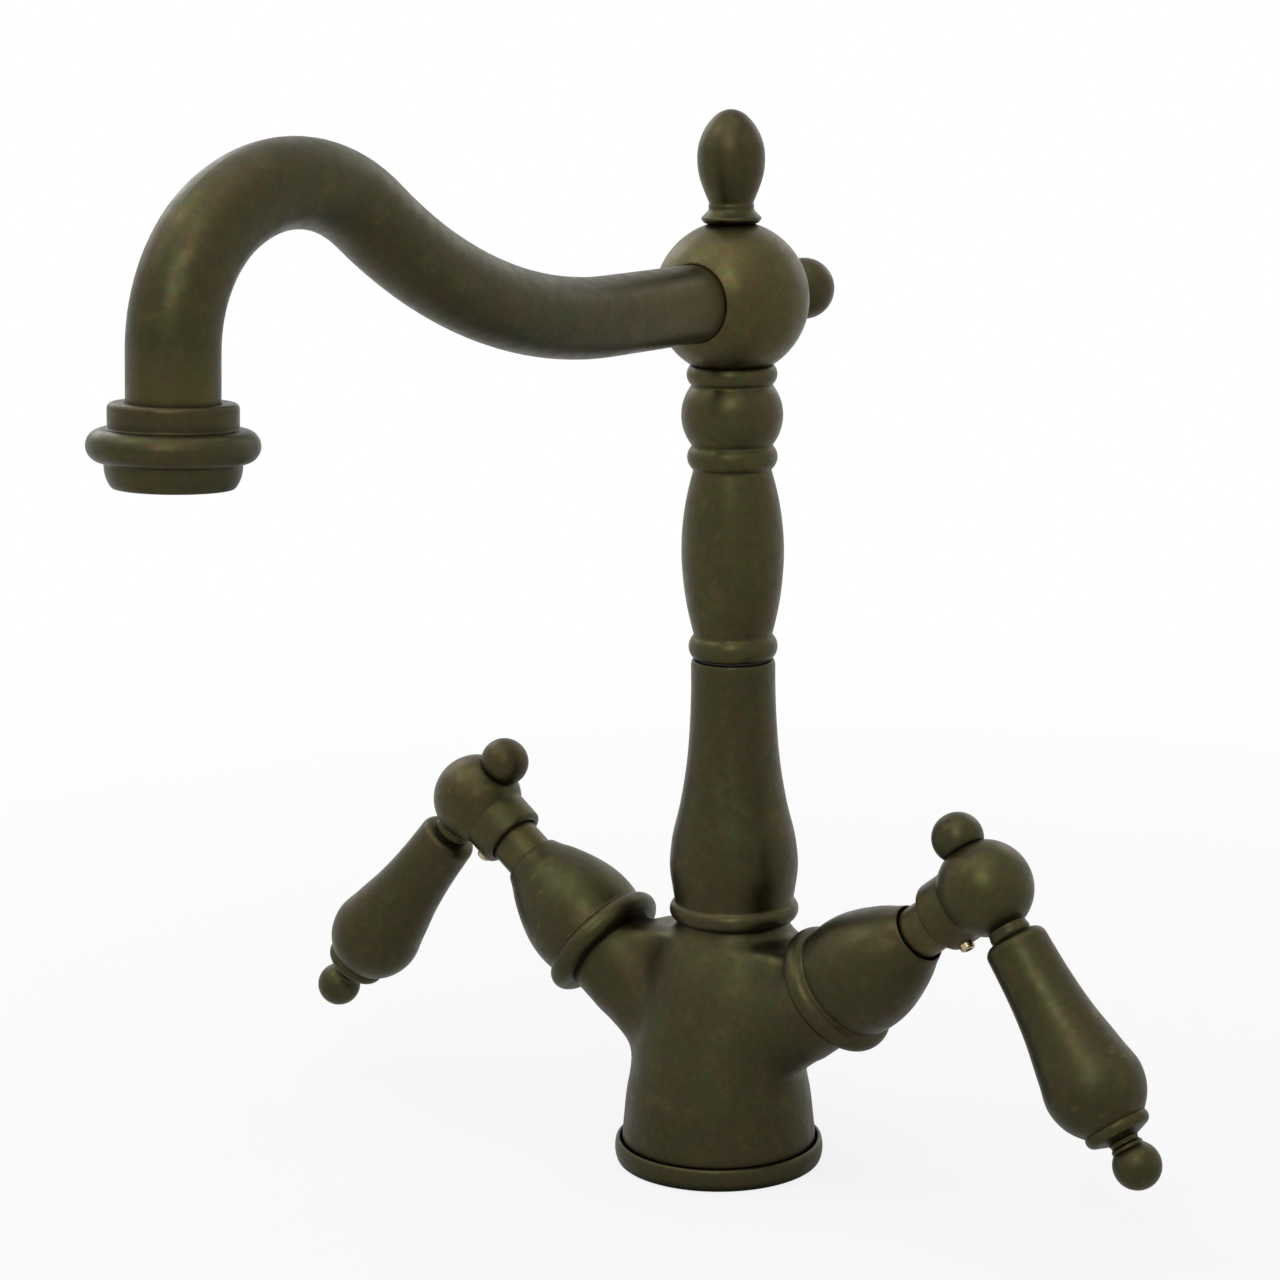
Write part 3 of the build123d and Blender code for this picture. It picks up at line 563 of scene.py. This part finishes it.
class TAP_OT_casting(bpy.types.Operator):
    """Casts the body: a cup that widens into two valve arms and a neck, with a flat shelf between them"""

    bl_idname = "tap.casting"
    bl_label = "Body casting"

    def execute(self, context):
        rough = placed(context, "rough_casting", self.rough_shape())
        fused = rough.modifiers.new("fused", "REMESH")
        fused.mode = "VOXEL"
        fused.voxel_size = VOXEL * MM
        made = bmesh.new()
        made.from_object(rough, context.evaluated_depsgraph_get())
        bpy.data.objects.remove(rough)
        self.blend(context, made)
        self.trim(made)
        body = finished(context, "body_casting", made, "bronze", "tap_body", "mixer_body")
        self.drill(context, body)
        return {"FINISHED"}

    def rough_shape(self):
        """Overlapping forms of the cup, the neck, the arms and the shelf."""
        made = bmesh.new()
        rings = []
        for height, half_length, half_depth, back in CASTING_LEVELS:
            oval = Matrix.Translation((0, back, height)) @ Matrix.Diagonal((half_length, half_depth, 1, 1))
            circle = bmesh.ops.create_circle(made, segments=ROUND_STEPS, radius=1.0, matrix=oval)
            rings.append([e for e in made.edges if all(v in circle["verts"] for v in e.verts)])
        for lower, upper in zip(rings, rings[1:]):
            bmesh.ops.bridge_loops(made, edges=lower + upper)
        bmesh.ops.holes_fill(made, edges=rings[0] + rings[-1], sides=0)
        for _, side in SIDES:
            self.rod(made, Matrix.Scale(1 / MM, 4) @ arm_place(side), CASTING_ARM_RADIUS, 12.0, 54.0)
        shelf = Matrix.Translation(SHELF_MIDDLE) @ Matrix.Diagonal((*SHELF_SIZE, 1))
        block = bmesh.ops.create_cube(made, size=1.0, matrix=shelf)
        bmesh.ops.bevel(
            made,
            geom=list({edge for corner in block["verts"] for edge in corner.link_edges}),
            offset=SHELF_ROUNDING,
            segments=4,
            profile=0.5,
            affect="EDGES",
            material=-1,
        )
        bmesh.ops.transform(made, matrix=Matrix.Scale(MM, 4), verts=made.verts)
        bmesh.ops.recalc_face_normals(made, faces=made.faces)
        return made

    def blend(self, context, made):
        """Runs the arms into the cup, less strongly the shelf into the neck, and smooths the voxels' steps."""
        self.soften(made, made.verts)
        low, high, reach = WAIST_Z * MM, SHOULDER_Z * MM, BLEND_REACH * MM
        near = [v for v in made.verts if low < v.co.z < high and abs(v.co.x) < reach]
        top = [v for v in made.verts if v.co.z >= high]
        rounds = round(4 * (context.scene.tap_sizes.casting_blend / (VOXEL * MM)) ** 2)
        for i in range(rounds):
            self.soften(made, near)
            if i % 4 == 0:
                self.soften(made, top)
            if i % 12 == 0:
                self.soften(made, made.verts)

    def soften(self, made, verts):
        bmesh.ops.smooth_vert(
            made, verts=verts, factor=0.5, use_axis_x=True, use_axis_y=True, use_axis_z=True
        )

    def trim(self, made):
        """Cuts the casting flat at the deck, the column and the two bonnets."""
        cuts = [(Vector((0, 0, 0)), Vector((0, 0, -1))), (Vector((0, 0, NECK_TOP)), Vector((0, 0, 1)))]
        cuts += [(Vector((0, 0, ARM_ROOT_Z)) + arm_way(side) * ARM_END, arm_way(side)) for _, side in SIDES]
        for point, outward in cuts:
            cut = bmesh.ops.bisect_plane(
                made,
                geom=made.verts[:] + made.edges[:] + made.faces[:],
                dist=1e-6,
                plane_co=point * MM,
                plane_no=outward,
                clear_outer=True,
            )
            edges = [e for e in cut["geom_cut"] if isinstance(e, bmesh.types.BMEdge)]
            bmesh.ops.holes_fill(made, edges=edges, sides=0)
        bmesh.ops.triangulate(made, faces=[f for f in made.faces if len(f.verts) > 4])
        bmesh.ops.recalc_face_normals(made, faces=made.faces)

    def drill(self, context, body):
        """Drills the holes, and turns the foot down to the ring's bore."""
        holes = bmesh.new()
        self.rod(holes, BASE, STUD_HOLE, -2.0, STUD_DEPTH)
        self.rod(holes, COLUMN, SOCKET_HOLE, SOCKET_FLOOR, 72.0)
        for _, side in SIDES:
            inlet = along((side * INLET_X, 0, 0), (0, 0, 1), (1, 0, 0))
            self.rod(holes, inlet, INLET_HOLE, -2.0, INLET_DEPTH)
            self.rod(holes, arm_place(side), VALVE_HOLE, VALVE_FLOOR, 60.0)
        self.cut_away(context, body, holes)
        step = bmesh.new()
        outline = ((19, 0, -2), (40, 0, -2), (40, 0, RING_SEAT), (19, 0, RING_SEAT))
        corners = [step.verts.new(corner) for corner in outline]
        for a, b in zip(corners, corners[1:] + corners[:1]):
            step.edges.new((a, b))
        spin_round(step)
        bmesh.ops.transform(step, matrix=BASE, verts=step.verts)
        bmesh.ops.recalc_face_normals(step, faces=step.faces)
        self.cut_away(context, body, step)

    def rod(self, made, place, radius, low, high):
        """Adds a closed round rod along an axis, from one distance to another."""
        bmesh.ops.create_cone(
            made,
            cap_ends=True,
            segments=ROUND_STEPS,
            radius1=radius,
            radius2=radius,
            depth=high - low,
            matrix=place @ Matrix.Translation((0, 0, (low + high) / 2)),
        )

    def cut_away(self, context, body, made):
        """Cuts a shape out of the casting."""
        tool = placed(context, "tool", made)
        for face in tool.data.polygons:
            face.use_smooth = True
        cut = body.modifiers.new("cut", "BOOLEAN")
        cut.operation = "DIFFERENCE"
        cut.solver = "EXACT"
        cut.object = tool
        left = bpy.data.meshes.new_from_object(body.evaluated_get(context.evaluated_depsgraph_get()))
        self.tidy_cut(left)
        left.set_sharp_from_angle(angle=SHARP_ANGLE)
        body.modifiers.clear()
        body.data = left
        bpy.data.objects.remove(tool)

    def tidy_cut(self, mesh):
        """Takes out pairs of faces that a cut can leave back to back, and joins corners that coincide."""
        made = bmesh.new()
        made.from_mesh(mesh)
        bmesh.ops.triangulate(made, faces=[f for f in made.faces if len(f.verts) > 3])
        bmesh.ops.remove_doubles(made, verts=made.verts, dist=0.0005 * MM)
        found = {}
        for face in made.faces:
            found.setdefault(frozenset(face.verts), []).append(face)
        pairs = [face for faces in found.values() if len(faces) > 1 for face in faces]
        bmesh.ops.delete(made, geom=pairs, context="FACES")
        made.to_mesh(mesh)
        made.free()


class TAP_OT_column(bpy.types.Operator):
    """Turns the fixed lower column and the baluster that swivels with the spout"""

    bl_idname = "tap.column"
    bl_label = "Column"

    def execute(self, context):
        lower = turned(
            context,
            COLUMN,
            (6.0, 56.0),
            line(11.0, 56.0),
            line(11.0, 66.0),
            line(14.6, 66.0),
            line(14.6, 66.9),
            arc((17.85, 69.9), (16.4, 72.5)),
            curve(
                (16.96, 76.1),
                (17.7, 81.9),
                (17.17, 89.0),
                (14.61, 100.4),
                (12.8, 111.7),
                (11.75, 125.5),
                (11.54, 138.9),
            ),
            line(11.24, 140.3),
            line(7.95, 140.3),
            line(7.95, 96.0),
            line(6.0, 96.0),
            line(6.0, 56.0),
        )
        finished(context, "turned_lower_column", lower, "bronze", "tap_body", "lower_column")
        upper = turned(
            context,
            COLUMN,
            (8.5, 140.9),
            line(10.93, 140.9),
            arc((12.14, 144.16), (10.67, 147.2)),
            curve(
                (11.9, 152.2),
                (12.85, 157.2),
                (13.48, 162.2),
                (13.91, 170.4),
                (13.42, 178.6),
                (12.68, 183.6),
                (11.61, 188.5),
                (10.5, 192.55),
            ),
            arc((12.21, 195.7), (10.81, 199.07)),
            arc((13.71, 207.2), (10.83, 215.4)),
            arc((12.19, 218.5), (10.93, 221.0)),
            line(9.0, 221.0),
            line(9.0, 226.0),
            line(6.5, 226.0),
            line(6.5, 155.0),
            line(8.5, 155.0),
            line(8.5, 140.9),
        )
        finished(context, "turned_baluster", upper, "worn bronze", "spout_assembly", "upper_column")
        return {"FINISHED"}


class TAP_OT_ball(bpy.types.Operator):
    """Turns the ball, the egg-shaped finial on it and the knob behind it"""

    bl_idname = "tap.ball"
    bl_label = "Ball, finial and rear knob"

    def execute(self, context):
        sizes = context.scene.tap_sizes
        ball = sizes.ball_radius / MM
        egg = sizes.egg_radius / MM
        knob = sizes.rear_knob_radius / MM
        hole, edge, peg = 10.1, 0.4, 4.0
        front = sqrt(ball**2 - (hole + edge) ** 2)
        made = turned(
            context,
            FORWARD,
            (hole, 8.0),
            line(hole, front - edge),
            line(hole + edge, front),
            arc((ball, 0.0), (peg, -sqrt(ball**2 - peg**2))),
            line(peg, -8.0),
            line(9.0, 8.0),
            line(hole, 8.0),
        )
        finished(context, "turned_ball", made, "bright bronze", "spout_assembly", "spout_ball")
        made = turned(
            context,
            COLUMN,
            (0.0, 250.0),
            line(3.0, 250.0),
            line(3.0, 258.2),
            line(6.4, 258.2),
            arc((7.5, 258.8), (8.15, 259.9)),
            arc((7.3, 260.6), (6.45, 261.5)),
            arc((6.0, 262.1), (5.95, 262.6)),
            arc((6.2, 263.0), (5.75, 263.5)),
            curve(
                (7.05, 266.6),
                (8.48, 270.8),
                (egg, 275.5),
                (8.58, 279.2),
                (7.45, 282.3),
                (5.4, 285.4),
                (2.95, 287.5),
                (0.0, 288.3),
                arrive=(-1, 0),
            ),
            closed=False,
        )
        finished(context, "turned_finial", made, "bronze", "spout_assembly", "finial")
        neck_end = REAR_KNOB_AT - sqrt(knob**2 - peg**2)
        made = turned(
            context,
            BEHIND,
            (0.0, 8.0),
            line(peg, 8.0),
            line(peg, 19.8),
            line(6.0, 19.8),
            arc((6.9, 21.0), (5.5, 22.2)),
            arc((peg + 0.1, neck_end - 2), (peg, neck_end)),
            arc((knob, REAR_KNOB_AT), (0.0, REAR_KNOB_AT + knob)),
            closed=False,
        )
        finished(context, "turned_rear_knob", made, "bronze", "spout_assembly", "rear_knob")
        return {"FINISHED"}


class TAP_OT_spout(bpy.types.Operator):
    """Turns the outlet ring and finishes the bent tube and the aerator"""

    bl_idname = "tap.spout"
    bl_label = "Spout and outlet"

    def execute(self, context):
        bead = context.scene.tap_sizes.outlet_radius / MM
        made = turned(
            context,
            OUTLET,
            (10.3, 0.0),
            line(10.3, 8.5),
            line(13.4, 8.5),
            line(14.2, 7.7),
            line(14.2, 2.7),
            arc((bead, -0.4), (14.9, -4.5)),
            arc((14.6, -7.4), (13.2, -10.1)),
            line(11.0, -10.1),
            line(11.0, -1.5),
            line(9.05, -1.5),
            line(9.05, 0.0),
            line(10.3, 0.0),
        )
        # The outlet ring takes the darkest bronze: painted shade
        finished(context, "turned_outlet_ring", made, "shaded bronze", "spout_assembly", "outlet_ring")
        carry_over(context, "joint-unshaded bronze", "spout_tube")
        carry_over(context, "plastic", "aerator_insert")
        carry_over(context, "steel", "aerator_screen")
        carry_over(context, "brass", "aerator_housing")
        carry_over(context, "rubber", "aerator_washer", "spout_tube_seal")
        return {"FINISHED"}


class TAP_OT_bonnets(bpy.types.Operator):
    """Turns the bell over each valve and the round nut at its mouth"""

    bl_idname = "tap.bonnets"
    bl_label = "Bonnets and gland nuts"

    def execute(self, context):
        bead = context.scene.tap_sizes.bonnet_bead_radius / MM
        for name, side in SIDES:
            place = arm_place(side)
            bell = turned(
                context,
                place,
                (11.0, 46.5),
                line(15.2, 46.5),
                arc((bead, 49.8), (15.9, 53.1)),
                curve(
                    (16.4, 58.0),
                    (15.8, 64.0),
                    (14.7, 68.0),
                    (13.2, 72.0),
                    (11.4, 76.0),
                    (9.7, 79.0),
                    (8.3, 82.0),
                ),
                line(7.9, 82.0),
                line(7.9, 79.0),
                curve((11.0, 72.0), (13.2, 65.0), (14.0, 58.0), (13.4, 54.2)),
                line(11.0, 52.2),
                line(11.0, 46.5),
            )
            finished(context, f"turned_{name}_bonnet", bell, "bronze", "tap_body", f"{name}_bonnet")
            nut = turned(
                context,
                place,
                (5.2, 78.0),
                line(7.2, 78.0),
                line(7.2, 91.2),
                line(6.8, 91.6),
                line(4.05, 91.6),
                line(4.05, 89.0),
                line(5.2, 89.0),
                line(5.2, 78.0),
            )
            gland_nut = f"{name}_gland_nut"
            finished(context, f"turned_{gland_nut}", nut, "bright bronze", "tap_body", gland_nut)
        return {"FINISHED"}


class TAP_OT_handles(bpy.types.Operator):
    """Turns the two handles: hub, knob, neck, grip, end ring and tip"""

    bl_idname = "tap.handles"
    bl_label = "Handles"

    def execute(self, context):
        sizes = context.scene.tap_sizes
        ball = sizes.hub_radius / MM
        belly = sizes.grip_radius / MM
        tip = sizes.tip_radius / MM
        sleeve, throat = 9.8, 4.0
        for name, side in SIDES:
            body = f"{name}_handle"
            lever = lever_place(side)
            hub = turned(
                context,
                arm_place(side),
                (0.0, 103.5),
                line(4.0, 103.5),
                line(4.0, 92.8),
                line(7.5, 92.8),
                line(7.5, 90.3),
                line(sleeve - 1.2, 90.3),
                arc((sleeve - 0.35, 90.65), (sleeve, 91.5)),
                line(sleeve, HUB_AT - sqrt(ball**2 - sleeve**2)),
                arc((ball, HUB_AT), (0.0, HUB_AT + ball)),
                closed=False,
            )
            finished(context, f"turned_{name}_hub", hub, "worn bronze", body, f"{name}_hub")
            knob = turned(
                context,
                lever,
                (0.0, -ball + 0.3),
                line(5.6, -11.0),
                arc((6.9, -14.8), (0.0, -21.7)),
                closed=False,
            )
            finished(context, f"turned_{name}_knob", knob, "bronze", body, f"{name}_knob")
            neck = turned(
                context,
                lever,
                (2.5, 11.0),
                line(5.3, 11.0),
                line(5.3, 12.3),
                arc((5.6, 13.3), (5.2, 14.6)),
                line(5.2, 15.0),
                line(2.5, 15.0),
                line(2.5, 11.0),
            )
            finished(context, f"turned_{name}_lever_neck", neck, "joint-unshaded bronze", body, f"{name}_lever_neck")
            grip = turned(
                context,
                lever,
                (2.5, 14.2),
                line(5.4, 14.2),
                line(5.9, 14.5),
                arc((7.6, 15.3), (8.45, 17.0)),
                curve(
                    (8.6, 22.5),
                    (8.85, 28.0),
                    (9.85, 38.5),
                    (12.0, 50.5),
                    (belly, 58.5),
                    (11.8, 64.0),
                    (8.6, 68.3),
                ),
                line(8.4, 68.8),
                line(2.5, 68.8),
                line(2.5, 14.2),
            )
            finished(context, f"turned_{name}_grip", grip, "joint-unshaded bronze", body, f"{name}_lever_grip")
            ring = turned(
                context,
                lever,
                (2.5, 68.0),
                line(8.2, 68.0),
                arc((8.8, 70.2), (7.0, 71.8)),
                line(4.3, 72.8),
                line(2.5, 72.8),
                line(2.5, 68.0),
            )
            finished(context, f"turned_{name}_end_ring", ring, "bronze", body, f"{name}_lever_end_ring")
            made = turned(
                context,
                lever,
                (0.0, 78.0),
                line(2.5, 78.0),
                line(2.5, 72.8),
                line(4.3, 72.8),
                arc((3.7, 73.9), (3.8, 74.3)),
                arc((4.4, 74.85), (throat, TIP_AT - sqrt(tip**2 - throat**2))),
                arc((tip, TIP_AT), (0.0, TIP_AT + tip)),
                closed=False,
            )
            finished(context, f"turned_{name}_tip", made, "bronze", body, f"{name}_lever_tip")
            carry_over(context, "brass", f"{name}_set_screw")
        return {"FINISHED"}


class TAP_OT_inside(bpy.types.Operator):
    """Gives the pieces inside the tap their finishes"""

    bl_idname = "tap.inside"
    bl_label = "Pieces inside"

    def execute(self, context):
        carry_over(context, "rubber", "base_gasket", "spigot_o_rings")
        carry_over(context, "acetal", "swivel_washer")
        carry_over(context, "brass", "swivel_spigot", "swivel_lock_screw")
        for name, _ in SIDES:
            carry_over(context, "rubber", f"{name}_seat_seal", f"{name}_stem_o_rings")
            carry_over(context, "brass", f"{name}_cartridge", f"{name}_stem", f"{name}_lever_rod")
            carry_over(context, "steel", f"{name}_stem_circlip")
            carry_over(context, "ceramic", f"{name}_fixed_disc", f"{name}_moving_disc")
        return {"FINISHED"}


class TAP_OT_stage(bpy.types.Operator):
    """Sets the pale floor, the soft lights, the white surround and the camera"""

    bl_idname = "tap.stage"
    bl_label = "Stage"

    def execute(self, context):
        scene = context.scene
        scene.view_settings.view_transform = "Standard"
        self.make_floor(context)
        self.make_surround(context)
        self.make_camera(context)
        self.make_lights(context)
        return {"FINISHED"}

    def make_floor(self, context):
        """Painted studio floor: even and matt, with a faint roller texture. Away from the tap it runs into
        white for the camera, and the metal mirrors it white but for a darker spot in front of the cold side."""
        material, tree, shader, place = started_material("painted_floor")
        texture = add(tree, "TexNoise", None, cloudy(place, 20 * MM)).outputs["Fac"]
        texture = add(tree, "MapRange", SOFT, (texture, 0.2, 0.8, 0.0, 0.1)).outputs["Result"]
        paint = {0: texture, 6: context.scene.tap_finishes.floor, 7: linear("#dcdcdc")}
        tree.links.new(add(tree, "Mix", COLOURS, paint).outputs[2], shader.inputs["Base Color"])
        shader.inputs["Roughness"].default_value = 0.9
        shader.inputs["Specular IOR Level"].default_value = 0.0
        path = add(tree, "LightPath").outputs
        far = add(tree, "VectorMath", {"operation": "LENGTH"}, (place,)).outputs["Value"]
        far = add(tree, "MapRange", SOFT, (far, 0.1, 0.8, 0.82, 1.0)).outputs["Result"]
        share = add(tree, "Math", {"operation": "MULTIPLY"}, (path["Is Camera Ray"], far)).outputs[0]
        dark_spot = (0.2, -0.1, 0)
        far = add(tree, "VectorMath", {"operation": "DISTANCE"}, (place, dark_spot)).outputs["Value"]
        far = add(tree, "MapRange", SOFT, (far, 0.1, 1.0, 0.1, 1.0)).outputs["Result"]
        rays = (path["Is Glossy Ray"], path["Is Transmission Ray"])
        mirrored = add(tree, "Math", {"operation": "MAXIMUM"}, rays).outputs[0]
        share = add(tree, "Math", {"operation": "MULTIPLY_ADD"}, (mirrored, far, share)).outputs[0]
        white = add(tree, "Emission", None, {"Color": (1, 1, 1, 1), "Strength": 1.0}).outputs[0]
        mix = add(tree, "MixShader", None, (share, shader.outputs[0], white)).outputs[0]
        tree.links.new(mix, tree.nodes["Material Output"].inputs["Surface"])
        made = bmesh.new()
        bmesh.ops.create_circle(made, cap_ends=True, segments=128, radius=6.0)
        bmesh.ops.translate(made, vec=(0, 0, -0.1 * MM), verts=made.verts)
        floor = placed(context, "floor", made)
        floor.data.materials.append(material)

    def make_surround(self, context):
        """White for the camera. The metal mirrors a white backdrop and ceiling, and a greyer room low on the
        camera's side, and everything else gets half of the light."""
        world = bpy.data.worlds.new("surround")
        context.scene.world = world
        world.use_nodes = True
        tree = world.node_tree
        path = add(tree, "LightPath").outputs
        towards = add(tree, "TexCoord").outputs["Generated"]
        rise = (-0.6 * sin(CAMERA_AZIMUTH), 0.6 * cos(CAMERA_AZIMUTH), 1.2)
        height = add(tree, "VectorMath", {"operation": "DOT_PRODUCT"}, (towards, rise)).outputs["Value"]
        room = add(tree, "MapRange", SOFT, (height, -0.6, 0.4, 0.62, 1.0)).outputs["Result"]
        rays = (path["Is Glossy Ray"], path["Is Transmission Ray"])
        mirrored = add(tree, "Math", {"operation": "MAXIMUM"}, rays).outputs[0]
        strength = add(tree, "MapRange", None, (mirrored, 0.0, 1.0, 0.5, room)).outputs["Result"]
        seen = (strength, path["Is Camera Ray"])
        strength = add(tree, "Math", {"operation": "MAXIMUM"}, seen).outputs[0]
        background = tree.nodes["Background"]
        background.inputs["Color"].default_value = (1, 1, 1, 1)
        tree.links.new(strength, background.inputs["Strength"])

    def make_camera(self, context):
        """Camera where the photograph was taken from."""
        azimuth, pitch, roll = CAMERA_AZIMUTH, CAMERA_PITCH, CAMERA_ROLL
        back = Vector((sin(azimuth) * cos(pitch), -cos(azimuth) * cos(pitch), sin(pitch)))
        level = Vector((cos(azimuth), sin(azimuth), 0))
        upright = back.cross(level)
        right = cos(roll) * level + sin(roll) * upright
        up = cos(roll) * upright - sin(roll) * level
        aside, above = PICTURE_SHIFT
        spot = Vector((0, 0, MIDDLE_Z)) + aside * level + above * upright + CAMERA_DISTANCE * back
        data = bpy.data.cameras.new("camera")
        data.lens = 90.0
        data.sensor_width = 36.0
        camera = bpy.data.objects.new("camera", data)
        turn = Matrix((right, up, back)).transposed().to_4x4()
        camera.matrix_world = Matrix.Translation(spot * MM) @ turn
        context.scene.collection.objects.link(camera)
        context.scene.camera = camera

    def make_lights(self, context):
        """Soft boxes over, in front of and behind the tap."""
        target = Vector((0, -30, MIDDLE_Z)) * MM

        def spot(azimuth, elevation, distance):
            """Place of a lamp: degrees round from the front, degrees up, and metres away from the target."""
            a, e = radians(azimuth), radians(elevation)
            return target + distance * Vector((sin(a) * cos(e), -cos(a) * cos(e), sin(e)))

        # Name, place, width and height in metres, and watts
        lamps = (
            ("soft_box_above", spot(0, 78, 1.0), 0.9, 0.9, 2.4),
            ("soft_box_front", spot(27, 38, 1.3), 0.4, 0.6, 3.0),
            ("soft_box_left", spot(-52, 52, 1.2), 0.5, 0.5, 2.0),
            ("soft_box_back_left", spot(-106, 32, 1.2), 0.6, 0.6, 2.4),
            ("soft_box_back_right", spot(180, 25, 1.2), 0.6, 0.6, 0.9),
        )
        for name, place, width, height, watts in lamps:
            data = bpy.data.lights.new(name, "AREA")
            data.shape = "RECTANGLE"
            data.size, data.size_y = width, height
            data.energy = watts
            lamp = bpy.data.objects.new(name, data)
            lamp.location = place
            lamp.rotation_euler = (target - place).to_track_quat("-Z", "Y").to_euler()
            lamp.visible_camera = False
            context.scene.collection.objects.link(lamp)


class TAP_PT_panel(bpy.types.Panel):
    """Sizes, finishes and pieces of the basin tap"""

    bl_idname = "TAP_PT_panel"
    bl_label = "Basin tap"
    bl_space_type = "VIEW_3D"
    bl_region_type = "UI"
    bl_category = "Basin tap"

    def draw(self, context):
        for group in (context.scene.tap_sizes, context.scene.tap_finishes):
            box = self.layout.box()
            for name in group.__annotations__:
                box.prop(group, name)
        for operator in OPERATORS:
            self.layout.operator(operator.bl_idname)


OPERATORS = (
    TAP_OT_base_ring,
    TAP_OT_casting,
    TAP_OT_column,
    TAP_OT_ball,
    TAP_OT_spout,
    TAP_OT_bonnets,
    TAP_OT_handles,
    TAP_OT_inside,
    TAP_OT_stage,
)
CLASSES = (TapSizes, TapFinishes) + OPERATORS + (TAP_PT_panel,)


def register():
    for cls in CLASSES:
        bpy.utils.register_class(cls)
    bpy.types.Scene.tap_sizes = bpy.props.PointerProperty(type=TapSizes)
    bpy.types.Scene.tap_finishes = bpy.props.PointerProperty(type=TapFinishes)


def unregister():
    del bpy.types.Scene.tap_finishes
    del bpy.types.Scene.tap_sizes
    for cls in reversed(CLASSES):
        bpy.utils.unregister_class(cls)


def main():
    register()
    for operator in OPERATORS:
        group, name = operator.bl_idname.split(".")
        getattr(getattr(bpy.ops, group), name)()


if __name__ == "__main__":
    main()
